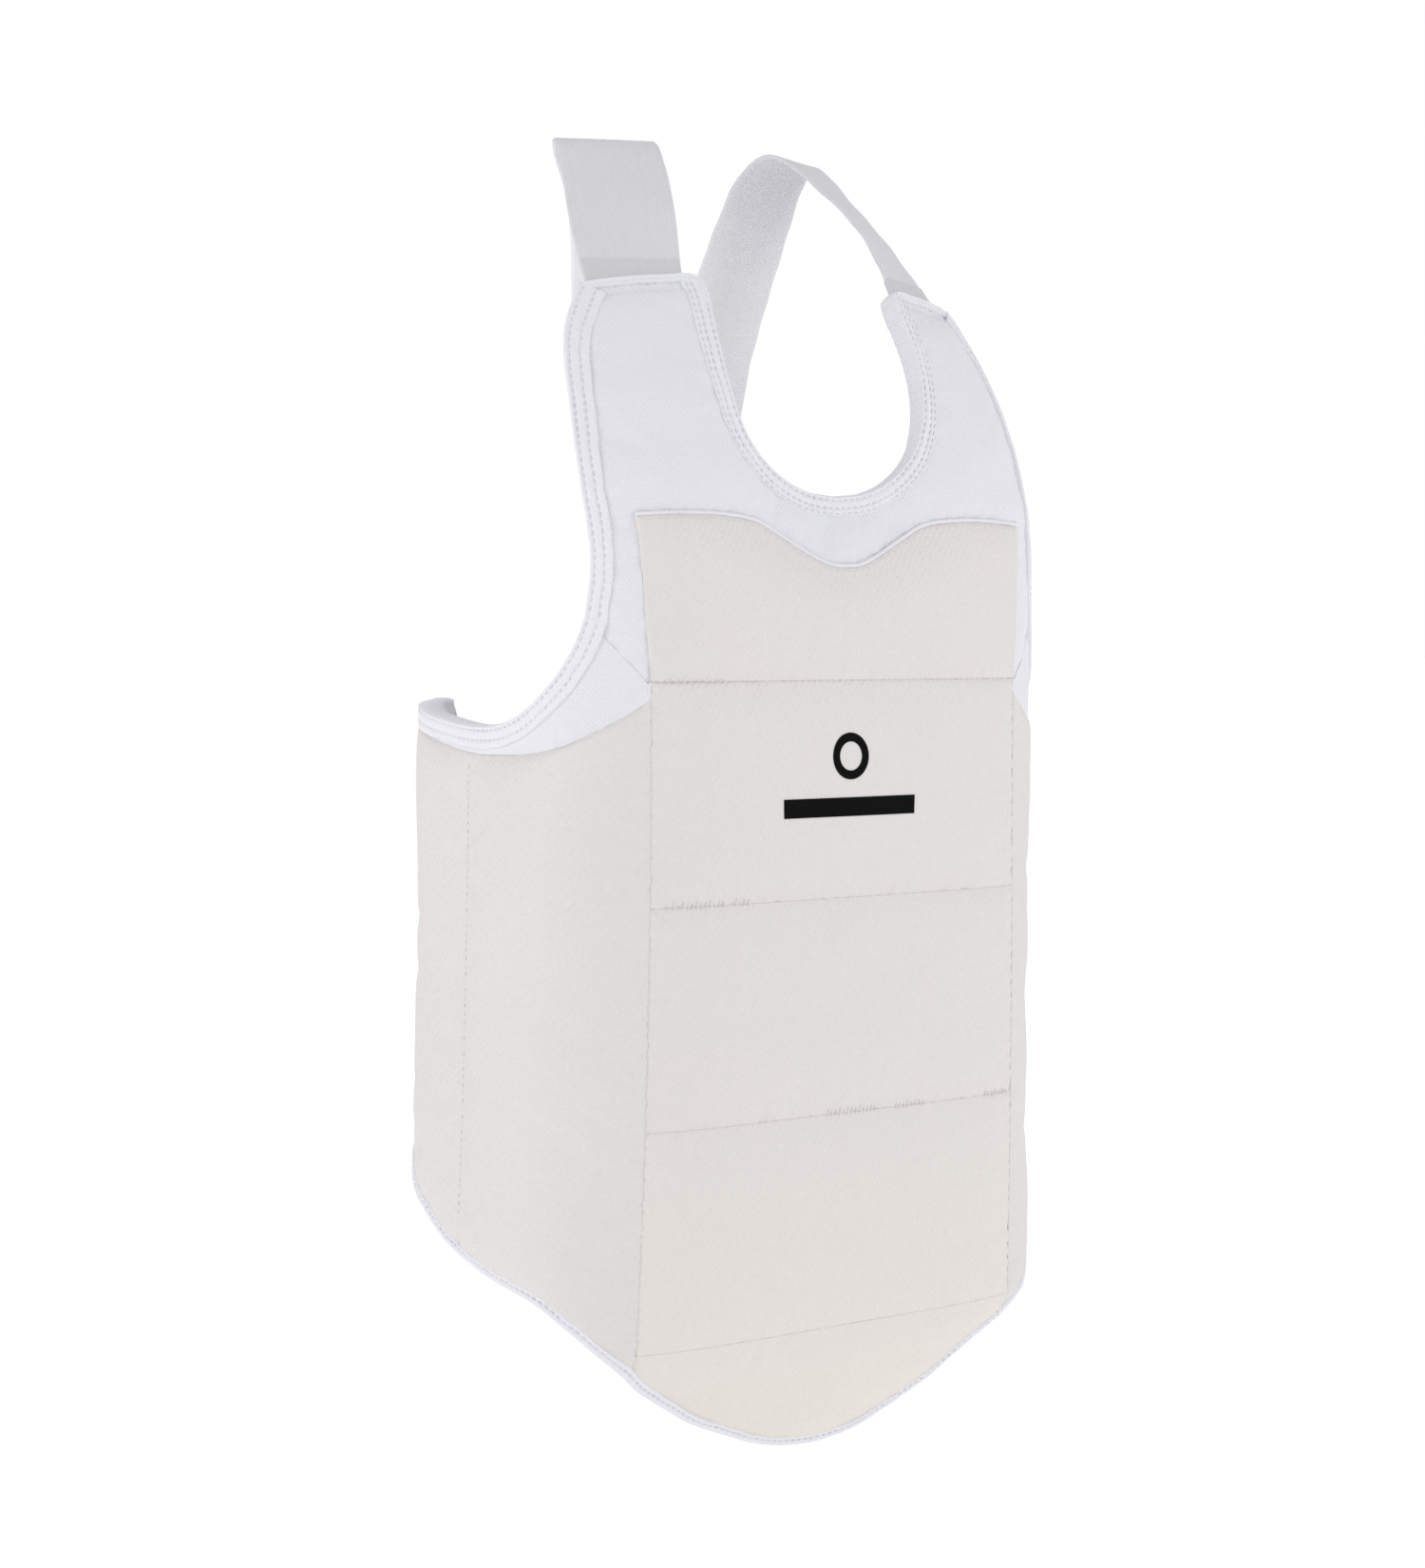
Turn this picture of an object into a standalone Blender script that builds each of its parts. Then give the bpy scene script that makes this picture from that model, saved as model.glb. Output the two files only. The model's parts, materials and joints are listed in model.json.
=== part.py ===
# Chest protector: padded front with four stitched cover panels and a soft
# lower flap, two side wings, textile yoke with two shoulder tabs, elastic
# shoulder straps, and an elastic waist belt with a hook-and-loop closure.
#
# Frame: +X wearer's left, -Y front, +Z up, metres.
# Every padded layer is a flat outline in (arc, z), where arc runs round the
# body from the middle of the chest, positive to the wearer's left. It is
# wrapped on the torso surface at its own depth, positive towards the body.
import bpy
import bmesh
import math
import numpy as np
from mathutils import Vector
from mathutils.geometry import delaunay_2d_cdt

# ---------------------------------------------------------- torso dimensions
HALF_WIDTH = 0.1435        # torso section, half width
HALF_DEPTH = 0.0890        # torso section, half depth
FLAT_HALF = 0.035          # flat middle of the chest
SECTION_POWER = 3.6        # squareness of the section
REAR_RADIUS = 0.032        # rounding of the rear corner
REAR_CENTRE_Y = 0.0404
REAR_TILT = math.radians(5.0)
REAR_RUN = 0.060           # straight run behind the rear corner
SHIFT_Y = 0.0081           # puts the frame origin in the middle of the depth
FRONT_STEPS, CORNER_STEPS = 400, 200

# Quadratics in the height above the crease: constant, linear, square term
WIDTH_SCALE = (1.020, -0.25, 0.40)
WIDTH_RANGE = 0.2495       # the width stays constant above this height
DEPTH_SHIFT = (0.0043, -0.050, 0.10)
DEPTH_RANGE = 0.25

LEAN_Z = 0.405             # the shoulders lean back above this height
LEAN_MIDDLE, LEAN_EXTRA = 2.1, 1.6      # lean at the middle, and added outwards
LEAN_X, LEAN_RUN = 0.050, 0.075         # where the added lean starts, and its run

NECK_DIP = 0.0085          # how far the front falls back below the neck
NECK_SPREAD = 0.070
NECK_RISE = (0.385, 0.050)              # start height and run of the dip
NECK_FADE = (0.450, 0.055)              # start height and run of its fading out

FLAP_LEAN, FLAP_LEAN_RUN = 0.38, 0.020  # the flap falls back below the crease
FLAP_CURL, FLAP_CURL_X = 0.27, 0.09     # and more so towards its sides

# --------------------------------------------------------- seams and layers
Z_TIP = 0.060              # crease between lower panel and flap
SEAM_STEP = 0.098          # height of one quilted panel
Z_SEAM = [Z_TIP + SEAM_STEP * i for i in range(4)]
SEAM_ARC = 0.107           # upright seams between front and wings
SEAM_GAP = 0.0004
HALF_GAP = SEAM_GAP / 2
EDGE_ARC = SEAM_ARC - HALF_GAP          # side edge of the front panels

# Outer and inner depth of each layer
COVER = (0.0, 0.0014)
FOAM = (0.0018, 0.0096)
LINING = (0.0100, 0.0112)
YOKE_COVER = (0.0006, 0.0018)
YOKE_FOAM = (0.0024, 0.0062)
YOKE_LINING = (0.0068, 0.0078)
GUSSET = (YOKE_COVER[0], LINING[1] - 0.0008)
YOKE_BINDING = (0.0001, YOKE_LINING[1] + 0.0002)
BODY_BINDING = (0.0001, LINING[1] + 0.0002)
PRINT = (-0.0007, -0.0003)
LOOP_PATCH = (-0.0014, -0.0004)

RIM = 0.0030               # width kept free for the edge bindings
BINDING_GAP = 0.0003
BINDING_WIDTH = RIM - BINDING_GAP
FOAM_INSET = 0.0015        # foam edge inside the cover edge
YOKE_GAP = 0.0004          # between chest panel and yoke

STRAP_WIDTH = 0.048        # elastic shoulder strap
STRAP_T = 0.0018

SIDES = (("right", -1), ("left", 1))


# ---------------------------------------------------------------- materials
def material(name, colour, roughness):
    mat = bpy.data.materials.new(name)
    mat.use_nodes = True
    shader = mat.node_tree.nodes["Principled BSDF"]
    shader.inputs["Base Color"].default_value = (*colour, 1.0)
    shader.inputs["Roughness"].default_value = roughness
    mat.diffuse_color = (*colour, 1.0)
    return mat


for old in list(bpy.data.objects):
    bpy.data.objects.remove(old, do_unlink=True)

MAT_COVER = material("cover_leathercloth", colour=(0.78, 0.76, 0.73), roughness=0.50)
MAT_TEXTILE = material("yoke_textile", colour=(0.80, 0.80, 0.85), roughness=0.85)
MAT_BINDING = material("edge_binding", colour=(0.84, 0.84, 0.88), roughness=0.80)
MAT_FOAM = material("foam", colour=(0.70, 0.70, 0.68), roughness=0.95)
MAT_LINING = material("lining", colour=(0.75, 0.76, 0.80), roughness=0.90)
MAT_ELASTIC = material("elastic_webbing", colour=(0.66, 0.66, 0.70), roughness=0.80)
MAT_LOOP = material("loop_fastener", colour=(0.72, 0.72, 0.75), roughness=0.95)
MAT_HOOK = material("hook_fastener", colour=(0.70, 0.70, 0.72), roughness=0.60)
MAT_PRINT = material("print_black", colour=(0.01, 0.01, 0.01), roughness=0.45)


# ------------------------------------------------------------ torso surface
def section_table():
    """Left half of the torso section, front to rear: arc, x and y arrays."""
    points = [(0.0, -HALF_DEPTH), (FLAT_HALF, -HALF_DEPTH)]
    for i in range(1, FRONT_STEPS + 1):
        angle = 0.5 * math.pi * i / FRONT_STEPS
        across_part = math.sin(angle) ** (2.0 / SECTION_POWER)
        depth_part = math.cos(angle) ** (2.0 / SECTION_POWER) if i < FRONT_STEPS else 0.0
        points.append((FLAT_HALF + (HALF_WIDTH - FLAT_HALF) * across_part,
                       -HALF_DEPTH * depth_part))
    centre_x = HALF_WIDTH - REAR_RADIUS
    for i in range(CORNER_STEPS + 1):
        angle = (0.5 * math.pi + REAR_TILT) * i / CORNER_STEPS
        points.append((centre_x + REAR_RADIUS * math.cos(angle),
                       REAR_CENTRE_Y + REAR_RADIUS * math.sin(angle)))
    x, y = points[-1]
    points.append((x - REAR_RUN * math.cos(REAR_TILT), y - REAR_RUN * math.sin(REAR_TILT)))
    table = np.array(points)
    arcs = np.concatenate(([0.0], np.cumsum(np.hypot(*np.diff(table, axis=0).T))))
    return arcs, table[:, 0], table[:, 1]


SECTION_ARC, SECTION_X, SECTION_Y = section_table()


def clamp(value, low, high):
    return max(low, min(high, value))


def smooth_step(value, start, run):
    part = clamp((value - start) / run, 0.0, 1.0)
    return part * part * (3 - 2 * part)


def quadratic(terms, value):
    constant, linear, square = terms
    return constant + linear * value + square * value * value


def surface(arc, z):
    """Outer face of the protector at body arc and height z."""
    x = float(np.interp(abs(arc), SECTION_ARC, SECTION_X))
    y = float(np.interp(abs(arc), SECTION_ARC, SECTION_Y))
    rise = z - Z_TIP
    width = quadratic(WIDTH_SCALE, clamp(rise, 0.0, WIDTH_RANGE))
    y += quadratic(DEPTH_SHIFT, clamp(rise, 0.0, DEPTH_RANGE))
    above = max(0.0, z - LEAN_Z)
    y += above * above * (LEAN_MIDDLE + LEAN_EXTRA * clamp((x - LEAN_X) / LEAN_RUN, 0.0, 1.0))
    y += (NECK_DIP * math.exp(-(x / NECK_SPREAD) ** 2) * smooth_step(z, *NECK_RISE)
          * (1 - smooth_step(z, *NECK_FADE)))
    drop = max(0.0, -rise)
    y += (FLAP_LEAN * drop * min(1.0, drop / FLAP_LEAN_RUN)
          + FLAP_CURL * drop * (x / FLAP_CURL_X) ** 2)
    sign = 1.0 if arc >= 0 else -1.0
    return np.array((sign * x * width, y + SHIFT_Y, z))


def normal(arc, z):
    step = 0.0004
    round_body = surface(arc + step, z) - surface(arc - step, z)
    upwards = surface(arc, z + step) - surface(arc, z - step)
    outward = np.cross(round_body, upwards)
    return outward / np.linalg.norm(outward)


def wrap(arc, z, depth):
    return surface(arc, z) - normal(arc, z) * depth


# ------------------------------------------------------------- flat outlines
def catmull_rom(knots, steps):
    """Smooth curve through the knots, which may be points or rows of points."""
    knots = [np.array(knot, float) for knot in knots]
    knots = [2 * knots[0] - knots[1]] + knots + [2 * knots[-1] - knots[-2]]
    curve = []
    for before, start, end, after in zip(knots, knots[1:], knots[2:], knots[3:]):
        for i in range(steps):
            part = i / steps
            curve.append(0.5 * ((2 * start) + (-before + end) * part
                                + (2 * before - 5 * start + 4 * end - after) * part * part
                                + (-before + 3 * start - 3 * end + after) * part ** 3))
    curve.append(knots[-2])
    return curve


def spline(points):
    return [(float(arc), float(z)) for arc, z in catmull_rom(points, 2)]


def offset(path, distance):
    """Open path moved sideways; positive is to the left of its direction."""
    moved = []
    for i, (arc, z) in enumerate(path):
        along = np.array(path[min(len(path) - 1, i + 1)]) - np.array(path[max(0, i - 1)])
        along = along / np.linalg.norm(along)
        moved.append((arc - along[1] * distance, z + along[0] * distance))
    return moved


def on_side(path, sign):
    """Path drawn for the left, moved to the side of the sign."""
    return [(sign * arc, z) for arc, z in path]


def mirrored_loop(half):
    """Closed outline from a half drawn from centre to centre."""
    return half + [(-arc, z) for arc, z in reversed(half) if abs(arc) > 1e-6]


def rect(arc0, arc1, z0, z1):
    return [(arc0, z0), (arc1, z0), (arc1, z1), (arc0, z1)]


def height_at(path, arc):
    """Height of an open path at an arc, run on straight beyond its ends."""
    legs = list(zip(path, path[1:]))
    for start, end in legs:
        if min(start[0], end[0]) <= arc <= max(start[0], end[0]):
            break
    else:
        start, end = min(legs, key=lambda leg: abs(0.5 * (leg[0][0] + leg[1][0]) - arc))
    return start[1] + (end[1] - start[1]) * (arc - start[0]) / (end[0] - start[0])


def panel_side(z):
    """Arc of the chest panel's side edge, slightly wider towards its top."""
    widening, run = 0.006, 0.073
    return SEAM_ARC + widening * clamp((z - Z_SEAM[3]) / run, 0.0, 1.0)


SIDE_Z = 0.39              # height of a point on the chest panel's side edge
SIDE_ARC = panel_side(SIDE_Z)
CORNER_ARC = panel_side(0.425)
CORNER_Z = 0.4255          # upper corner of the chest panel

# Edge curves of the left half, as (arc, z)
PANEL_TOP = spline([
    (0.0, 0.404), (0.020, 0.4095), (0.036, 0.418), (0.050, 0.424),
    (0.070, 0.4265), (0.092, 0.4265), (CORNER_ARC, CORNER_Z)])
NECK = spline([
    (0.0, 0.4368), (0.017, 0.4390), (0.032, 0.4455), (0.045, 0.4568),
    (0.0525, 0.4710), (0.0560, 0.4880), (0.0565, 0.5060), (0.0550, 0.5260)])
TAB_TOP = spline([
    (0.0550, 0.5260), (0.0590, 0.5355), (0.0830, 0.5340), (0.1060, 0.5310), (0.1145, 0.5230)])
ARMHOLE = spline([
    (0.1145, 0.5230), (0.1238, 0.5080), (0.1302, 0.4890), (0.1352, 0.4600),
    (0.1360, 0.4350), (0.1342, 0.4050), (0.1370, 0.3820)])
ARMHOLE_LOW = spline([
    (0.1370, 0.3820), (0.1430, 0.3680), (0.1530, 0.3550), (0.1680, 0.3430), (0.1860, 0.3360),
    (0.2100, 0.3345), (0.2400, 0.3380), (0.2640, 0.3430), (0.2860, 0.3450)])
WING_TOP = spline([
    (SEAM_ARC, 0.3460), (0.1200, 0.3385), (0.1330, 0.3320), (0.1480, 0.3260), (0.1660, 0.3225),
    (0.1860, 0.3215), (0.2100, 0.3215), (0.2400, 0.3260), (0.2640, 0.3330), (0.2860, 0.3420)])
WING_REAR = spline([
    (0.2860, 0.3450), (0.2940, 0.3300), (0.3100, 0.2850), (0.3240, 0.2600),
    (0.3260, 0.2300), (0.3240, 0.2000), (0.3110, 0.1700), (0.2900, 0.1480)])
WING_LOW = spline([
    (0.2900, 0.1480), (0.2700, 0.1310), (0.2500, 0.1140), (0.2250, 0.0985), (0.1950, 0.0895),
    (0.1590, 0.0820), (0.1396, 0.0717), (0.1247, 0.0602), (SEAM_ARC, 0.0465)])
TIP_EDGE = spline([
    (SEAM_ARC, 0.0462), (0.0985, 0.0395), (0.0835, 0.0298), (0.0675, 0.0200),
    (0.0445, 0.0100), (0.0305, 0.0048), (0.0150, 0.0012), (0.0, 0.0)])

# Lines where the padded layers are divided so that they follow the torso
ARC_CUTS = [0.035, 0.070, 0.092, 0.107, 0.118, 0.129, 0.140, 0.153, 0.170, 0.206,
            0.2465, 0.257, 0.268, 0.279, 0.290, 0.2996]
Z_CUTS = [0.020, 0.040, 0.110, 0.206, 0.304, 0.385, 0.405, 0.420, 0.435, 0.450, 0.465,
          0.480, 0.4925, 0.505, 0.518]
WING_Z_CUTS = Z_CUTS + [0.0535, Z_TIP, 0.085]
TIP_ARC_CUTS = [0.018, 0.035, 0.053, 0.070, 0.082, 0.092]
TIP_Z_CUTS = [0.010, 0.020, 0.030, 0.038, 0.045, 0.050, 0.0545]


# ------------------------------------------------------------- mesh helpers
def orient_outward(mesh):
    bmesh.ops.recalc_face_normals(mesh, faces=mesh.faces)
    if mesh.calc_volume(signed=True) < 0.0:
        bmesh.ops.reverse_faces(mesh, faces=mesh.faces[:])


def finish_object(name, mesh, mat, origin=(0.0, 0.0, 0.0)):
    """Object with triangle faces, outward normals and the given origin."""
    bmesh.ops.recalc_face_normals(mesh, faces=mesh.faces)
    bmesh.ops.triangulate(mesh, faces=[face for face in mesh.faces if len(face.verts) > 3])
    orient_outward(mesh)
    bmesh.ops.translate(mesh, verts=mesh.verts, vec=-Vector(origin))
    data = bpy.data.meshes.new(name)
    mesh.to_mesh(data)
    mesh.free()
    piece = bpy.data.objects.new(name, data)
    bpy.context.scene.collection.objects.link(piece)
    piece.location = Vector(origin)
    data.materials.append(mat)
    data.shade_smooth()
    data.set_sharp_from_angle(angle=math.radians(30))
    return piece


def cut_lines(outline, arc_cuts, z_cuts):
    """End points of the dividing lines that cross an outline."""
    edge, overrun = 0.0015, 0.01
    arcs, heights = zip(*outline)
    arc_min, arc_max = min(arcs), max(arcs)
    z_min, z_max = min(heights), max(heights)
    lines = []
    for cut in [signed for arc in arc_cuts for signed in (-arc, arc)]:
        if arc_min + edge < cut < arc_max - edge:
            lines.append(((cut, z_min - overrun), (cut, z_max + overrun)))
    for cut in z_cuts:
        if z_min + edge < cut < z_max - edge:
            lines.append(((arc_min - overrun, cut), (arc_max + overrun, cut)))
    return lines


def triangulate_outline(outline, arc_cuts, z_cuts):
    """Points and triangles that fill an outline, divided along the cuts."""
    points = [Vector(point) for point in outline]
    edges = []
    for ends in cut_lines(outline, arc_cuts, z_cuts):
        edges.append((len(points), len(points) + 1))
        points += [Vector(end) for end in ends]
    loop = list(range(len(outline)))
    following = outline[1:] + outline[:1]
    area = sum(start[0] * end[1] - end[0] * start[1] for start, end in zip(outline, following))
    if area < 0:
        loop = loop[::-1]
    output_type, merge_distance = 0, 1e-5
    result = delaunay_2d_cdt(points, edges, [loop], output_type, merge_distance)
    points, faces, sources = result[0], result[2], result[5]
    # only the triangles inside the outline have a source face
    return points, [face for face, source in zip(faces, sources) if len(source) > 0]


def padded(name, outline, depths, mat, arc_cuts=ARC_CUTS, z_cuts=Z_CUTS, **placing):
    """Closed slab: outline in (arc, z) wrapped between two depths."""
    points, triangles = triangulate_outline(outline, arc_cuts, z_cuts)
    mesh = bmesh.new()
    outer, inner = {}, {}
    for i in sorted({i for triangle in triangles for i in triangle}):
        outer[i] = mesh.verts.new(wrap(points[i].x, points[i].y, depths[0]))
        inner[i] = mesh.verts.new(wrap(points[i].x, points[i].y, depths[1]))
    for triangle in triangles:
        mesh.faces.new([outer[i] for i in triangle])
        mesh.faces.new([inner[i] for i in reversed(triangle)])
    edges = [(tri[i], tri[(i + 1) % 3]) for tri in triangles for i in range(3)]
    known = set(edges)
    for i, j in edges:
        if (j, i) not in known:
            mesh.faces.new([outer[i], outer[j], inner[j], inner[i]])
    return finish_object(name, mesh, mat, **placing)


def loft(rings, closed=False):
    """Mesh with quads between rings of points, and its rings of vertices."""
    mesh = bmesh.new()
    loops = [[mesh.verts.new(point) for point in ring] for ring in rings]
    following = loops[1:] + loops[:1] if closed else loops[1:]
    for this, after in zip(loops, following):
        for i in range(len(this)):
            j = (i + 1) % len(this)
            mesh.faces.new([this[i], this[j], after[j], after[i]])
    return mesh, loops


def capped_loft(rings):
    mesh, loops = loft(rings)
    mesh.faces.new(loops[0][::-1])
    mesh.faces.new(loops[-1])
    return mesh


def strip(name, path, width, depths, **placing):
    """Binding: a strip of the given width on the left side of a path."""
    outer, inner = depths
    rings = [[wrap(*near, outer), wrap(*far, outer), wrap(*far, inner), wrap(*near, inner)]
             for near, far in zip(path, offset(path, width))]
    return finish_object(name, capped_loft(rings), MAT_BINDING, **placing)


ACROSS = (-0.5, -0.25, 0.0, 0.25, 0.5)  # five points across a strap, in widths


def across(x, y, z, turn=0.0):
    """Row of points across a strap, its width turned in plan by degrees."""
    angle = math.radians(turn)
    direction = np.array((math.cos(angle), math.sin(angle), 0.0))
    return [np.array((x, y, z), float) + direction * STRAP_WIDTH * part for part in ACROSS]


def ribbon(name, sections, steps=3, **placing):
    """Flat webbing through rows of points, with a smooth curve between rows."""
    line = catmull_rom(sections, steps)
    count = len(ACROSS)
    rings = []
    for i, row in enumerate(line):
        along = line[min(len(line) - 1, i + 1)] - line[max(0, i - 1)]
        top, bottom = [], []
        for k in range(count):
            sideways = row[min(count - 1, k + 1)] - row[max(0, k - 1)]
            facing = np.cross(along[k], sideways)
            facing = facing / np.linalg.norm(facing)
            top.append(row[k] + facing * STRAP_T / 2)
            bottom.append(row[k] - facing * STRAP_T / 2)
        rings.append(top + bottom[::-1])
    mesh, loops = loft(rings)
    for end in (loops[0], loops[-1]):
        for k in range(count - 1):
            mesh.faces.new([end[k], end[k + 1], end[2 * count - 2 - k], end[2 * count - 1 - k]])
    return finish_object(name, mesh, MAT_ELASTIC, **placing)


def trim(piece, point, direction):
    """Cuts a piece by a plane, keeps the side behind it and closes the cut."""
    mesh = bmesh.new()
    mesh.from_mesh(piece.data)
    bmesh.ops.bisect_plane(mesh, geom=mesh.verts[:] + mesh.edges[:] + mesh.faces[:], dist=1e-7,
                           plane_co=Vector(point) - piece.location,
                           plane_no=Vector(direction), clear_outer=True)
    rim = [edge for edge in mesh.edges if len(edge.link_faces) == 1]
    bmesh.ops.triangle_fill(mesh, edges=rim, use_beauty=True, use_dissolve=False,
                            normal=Vector(direction))
    orient_outward(mesh)
    mesh.to_mesh(piece.data)
    mesh.free()


# ------------------------------------------------------------------- front
FRONT_SIDE_INSET = 0.002   # side edges of foam and lining, inside the cover


def quilted_panels():
    """Three rectangular cover panels below the chest panel, with their foam."""
    foam_arc = EDGE_ARC - FRONT_SIDE_INSET
    for i, place in enumerate(("lower", "middle", "upper")):
        z0, z1 = Z_SEAM[i] + HALF_GAP, Z_SEAM[i + 1] - HALF_GAP
        padded(place + "_panel", rect(-EDGE_ARC, EDGE_ARC, z0, z1), COVER, MAT_COVER)
        padded(place + "_foam", rect(-foam_arc, foam_arc, z0 + FOAM_INSET, z1 - FOAM_INSET),
               FOAM, MAT_FOAM)


def chest_outline(inset):
    top = offset(PANEL_TOP, -inset)
    top[0] = (0.0, top[0][1])
    low = Z_SEAM[3] + HALF_GAP + inset
    half = [(0.0, low), (EDGE_ARC - inset, low),
            (SIDE_ARC - HALF_GAP - inset, SIDE_Z),
            (CORNER_ARC - HALF_GAP - inset, CORNER_Z - inset)]
    return mirrored_loop(half + top[-2::-1])


def chest():
    padded("chest_panel", chest_outline(0.0), COVER, MAT_COVER)
    padded("chest_foam", chest_outline(FOAM_INSET), FOAM, MAT_FOAM)


def front_lining():
    """One lining behind all four panels."""
    side = EDGE_ARC - FRONT_SIDE_INSET
    half = [(0.0, Z_SEAM[0] + HALF_GAP), (side, Z_SEAM[0] + HALF_GAP), (side, Z_SEAM[3]),
            (panel_side(0.42) - FRONT_SIDE_INSET, 0.4240)]
    half += offset(PANEL_TOP, -0.0015)[-2:0:-1] + [(0.0, 0.4025)]
    padded("front_lining", mirrored_loop(half), LINING, MAT_LINING)


# -------------------------------------------------------------------- yoke
FOLD_ARC, FOLD_Z = SEAM_ARC + 0.0012, 0.3530    # fold line towards the wing
YOKE_CORNER_Z = 0.4259     # yoke edge above the chest panel's corner
TAB_ARCS = (0.0588, 0.1105)             # limits of the tab's top edge
YOKE_FOAM_TOP = 0.5050
YOKE_FOAM_TOP_ARCS = (0.0620, 0.1080)


def yoke_outline(inset, z_stop=None):
    """Textile above the chest panel with both tabs, cut off at z_stop if given."""
    half = offset(PANEL_TOP, YOKE_GAP + inset)[:-1]
    half[0] = (0.0, half[0][1])
    half += [(CORNER_ARC + YOKE_GAP + inset, YOKE_CORNER_Z + inset),
             (SIDE_ARC + YOKE_GAP + inset, SIDE_Z),
             (FOLD_ARC + inset, FOLD_Z + 0.0013 + inset * 2)]
    arm = offset(ARMHOLE, -RIM - BINDING_GAP - inset)[::-1]
    arm[0] = (arm[0][0], ARMHOLE[-1][1] - 0.0006 + inset * 2)
    half += arm[:-1]
    neck = offset(NECK, -RIM - BINDING_GAP - inset)[::-1][1:]
    neck[-1] = (0.0, neck[-1][1])
    if z_stop is None:
        top = [(clamp(arc, TAB_ARCS[0] + inset, TAB_ARCS[1] - inset), z - inset)
               for arc, z in TAB_TOP if arc < 0.112][::-1]
        half += top[1:-1]
    else:
        half = [point for point in half if point[1] < z_stop]
        half += [(arc, z_stop) for arc in reversed(YOKE_FOAM_TOP_ARCS)]
        neck = [point for point in neck if point[1] < z_stop]
    return mirrored_loop(half + neck)


def yoke():
    padded("yoke_cover", yoke_outline(0.0), YOKE_COVER, MAT_TEXTILE)
    padded("yoke_foam", yoke_outline(FOAM_INSET, YOKE_FOAM_TOP), YOKE_FOAM, MAT_FOAM)
    padded("yoke_lining", yoke_outline(0.0005), YOKE_LINING, MAT_LINING)


def yoke_bindings():
    neck_path = on_side(NECK, -1)[::-1][:-1] + NECK
    strip("neck_binding", neck_path, -BINDING_WIDTH, YOKE_BINDING)
    for side, sign in SIDES:
        strip("tab_binding_" + side, on_side(ARMHOLE, sign), -sign * BINDING_WIDTH, YOKE_BINDING)


# ------------------------------------------- emblem printed on the upper panel
EMBLEM_ARC, EMBLEM_Z = -0.0020, 0.3200
EMBLEM_RADIUS = 0.0105
EMBLEM_HOLE = 0.62         # inner radius as a share of the outer one
EMBLEM_STEPS = 24
BAR = rect(-0.0400, 0.0360, 0.2930, 0.3015)


def emblem():
    """Plain ring over a plain bar."""
    def ring(radius, depth):
        angles = [2 * math.pi * i / EMBLEM_STEPS for i in range(EMBLEM_STEPS)]
        return [wrap(EMBLEM_ARC + radius * math.cos(angle),
                     EMBLEM_Z + radius * math.sin(angle), depth) for angle in angles]

    hole = EMBLEM_RADIUS * EMBLEM_HOLE
    rings = [ring(EMBLEM_RADIUS, PRINT[0]), ring(EMBLEM_RADIUS, PRINT[1]),
             ring(hole, PRINT[1]), ring(hole, PRINT[0])]
    mesh, _ = loft(rings, closed=True)
    finish_object("emblem_ring", mesh, MAT_PRINT)
    padded("emblem_bar", BAR, PRINT, MAT_PRINT)


# --------------------------------------------------------------- lower flap
# Layers: name, inset from the flap edge, top edge, depths, material
TIP_LAYERS = [
    ("tip_cover", RIM + BINDING_GAP, Z_TIP - HALF_GAP - 0.0002, COVER, MAT_COVER),
    ("tip_foam", RIM + 0.0018, Z_TIP - 0.0050, FOAM, MAT_FOAM),
    ("tip_lining", RIM + 0.0008, Z_TIP - 0.0060, LINING, MAT_LINING),
]


def tip_outline(inset, top):
    edge = offset(TIP_EDGE, -inset)
    edge[-1] = (0.0, edge[-1][1])
    side = EDGE_ARC - 0.5 * max(0.0, inset - RIM)
    half = [(0.0, top), (side, top), (side, height_at(edge, side))]
    half += [point for point in edge if point[0] < side - 0.0015]
    return mirrored_loop(half)


def lower_flap():
    """Flap layers and binding, with their origin on the crease."""
    origin = (0.0, float(surface(0.0, Z_TIP)[1]) + 0.0002, Z_TIP)
    for name, inset, top, depths, mat in TIP_LAYERS:
        padded(name, tip_outline(inset, top), depths, mat,
               arc_cuts=TIP_ARC_CUTS, z_cuts=TIP_Z_CUTS, origin=origin)
    half = [(EDGE_ARC, height_at(TIP_EDGE, EDGE_ARC))] + TIP_EDGE[1:]
    path = half + on_side(half, -1)[::-1][1:]
    strip("tip_binding", path, -BINDING_WIDTH, BODY_BINDING, origin=origin)


# -------------------------------------------------------------------- wings
WING_ORIGIN_Z = 0.200
# Layers: name, inset, gap to the upright seam, depths, material
WING_LAYERS = [
    ("wing_cover_", 0.0, HALF_GAP, COVER, MAT_COVER),
    ("wing_foam_", FOAM_INSET, 0.0020, FOAM, MAT_FOAM),
    ("wing_lining_", 0.0005, 0.0020, LINING, MAT_LINING),
]


def wing_outline(inset, front_gap):
    rear = offset(WING_REAR, -RIM - BINDING_GAP - inset)
    low = offset(WING_LOW, -RIM - BINDING_GAP - inset)
    top = offset(WING_TOP, -0.0002 - inset)
    front = SEAM_ARC + front_gap
    outline = [(front, height_at(low, front)), (front, top[0][1] - 0.0010)]
    outline += [point for point in top[1:] if front + 0.002 < point[0] < 0.2800]
    outline += rear[1:-1]
    outline += [point for point in low[1:-1] if point[0] > front + 0.002]
    return outline


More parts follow.
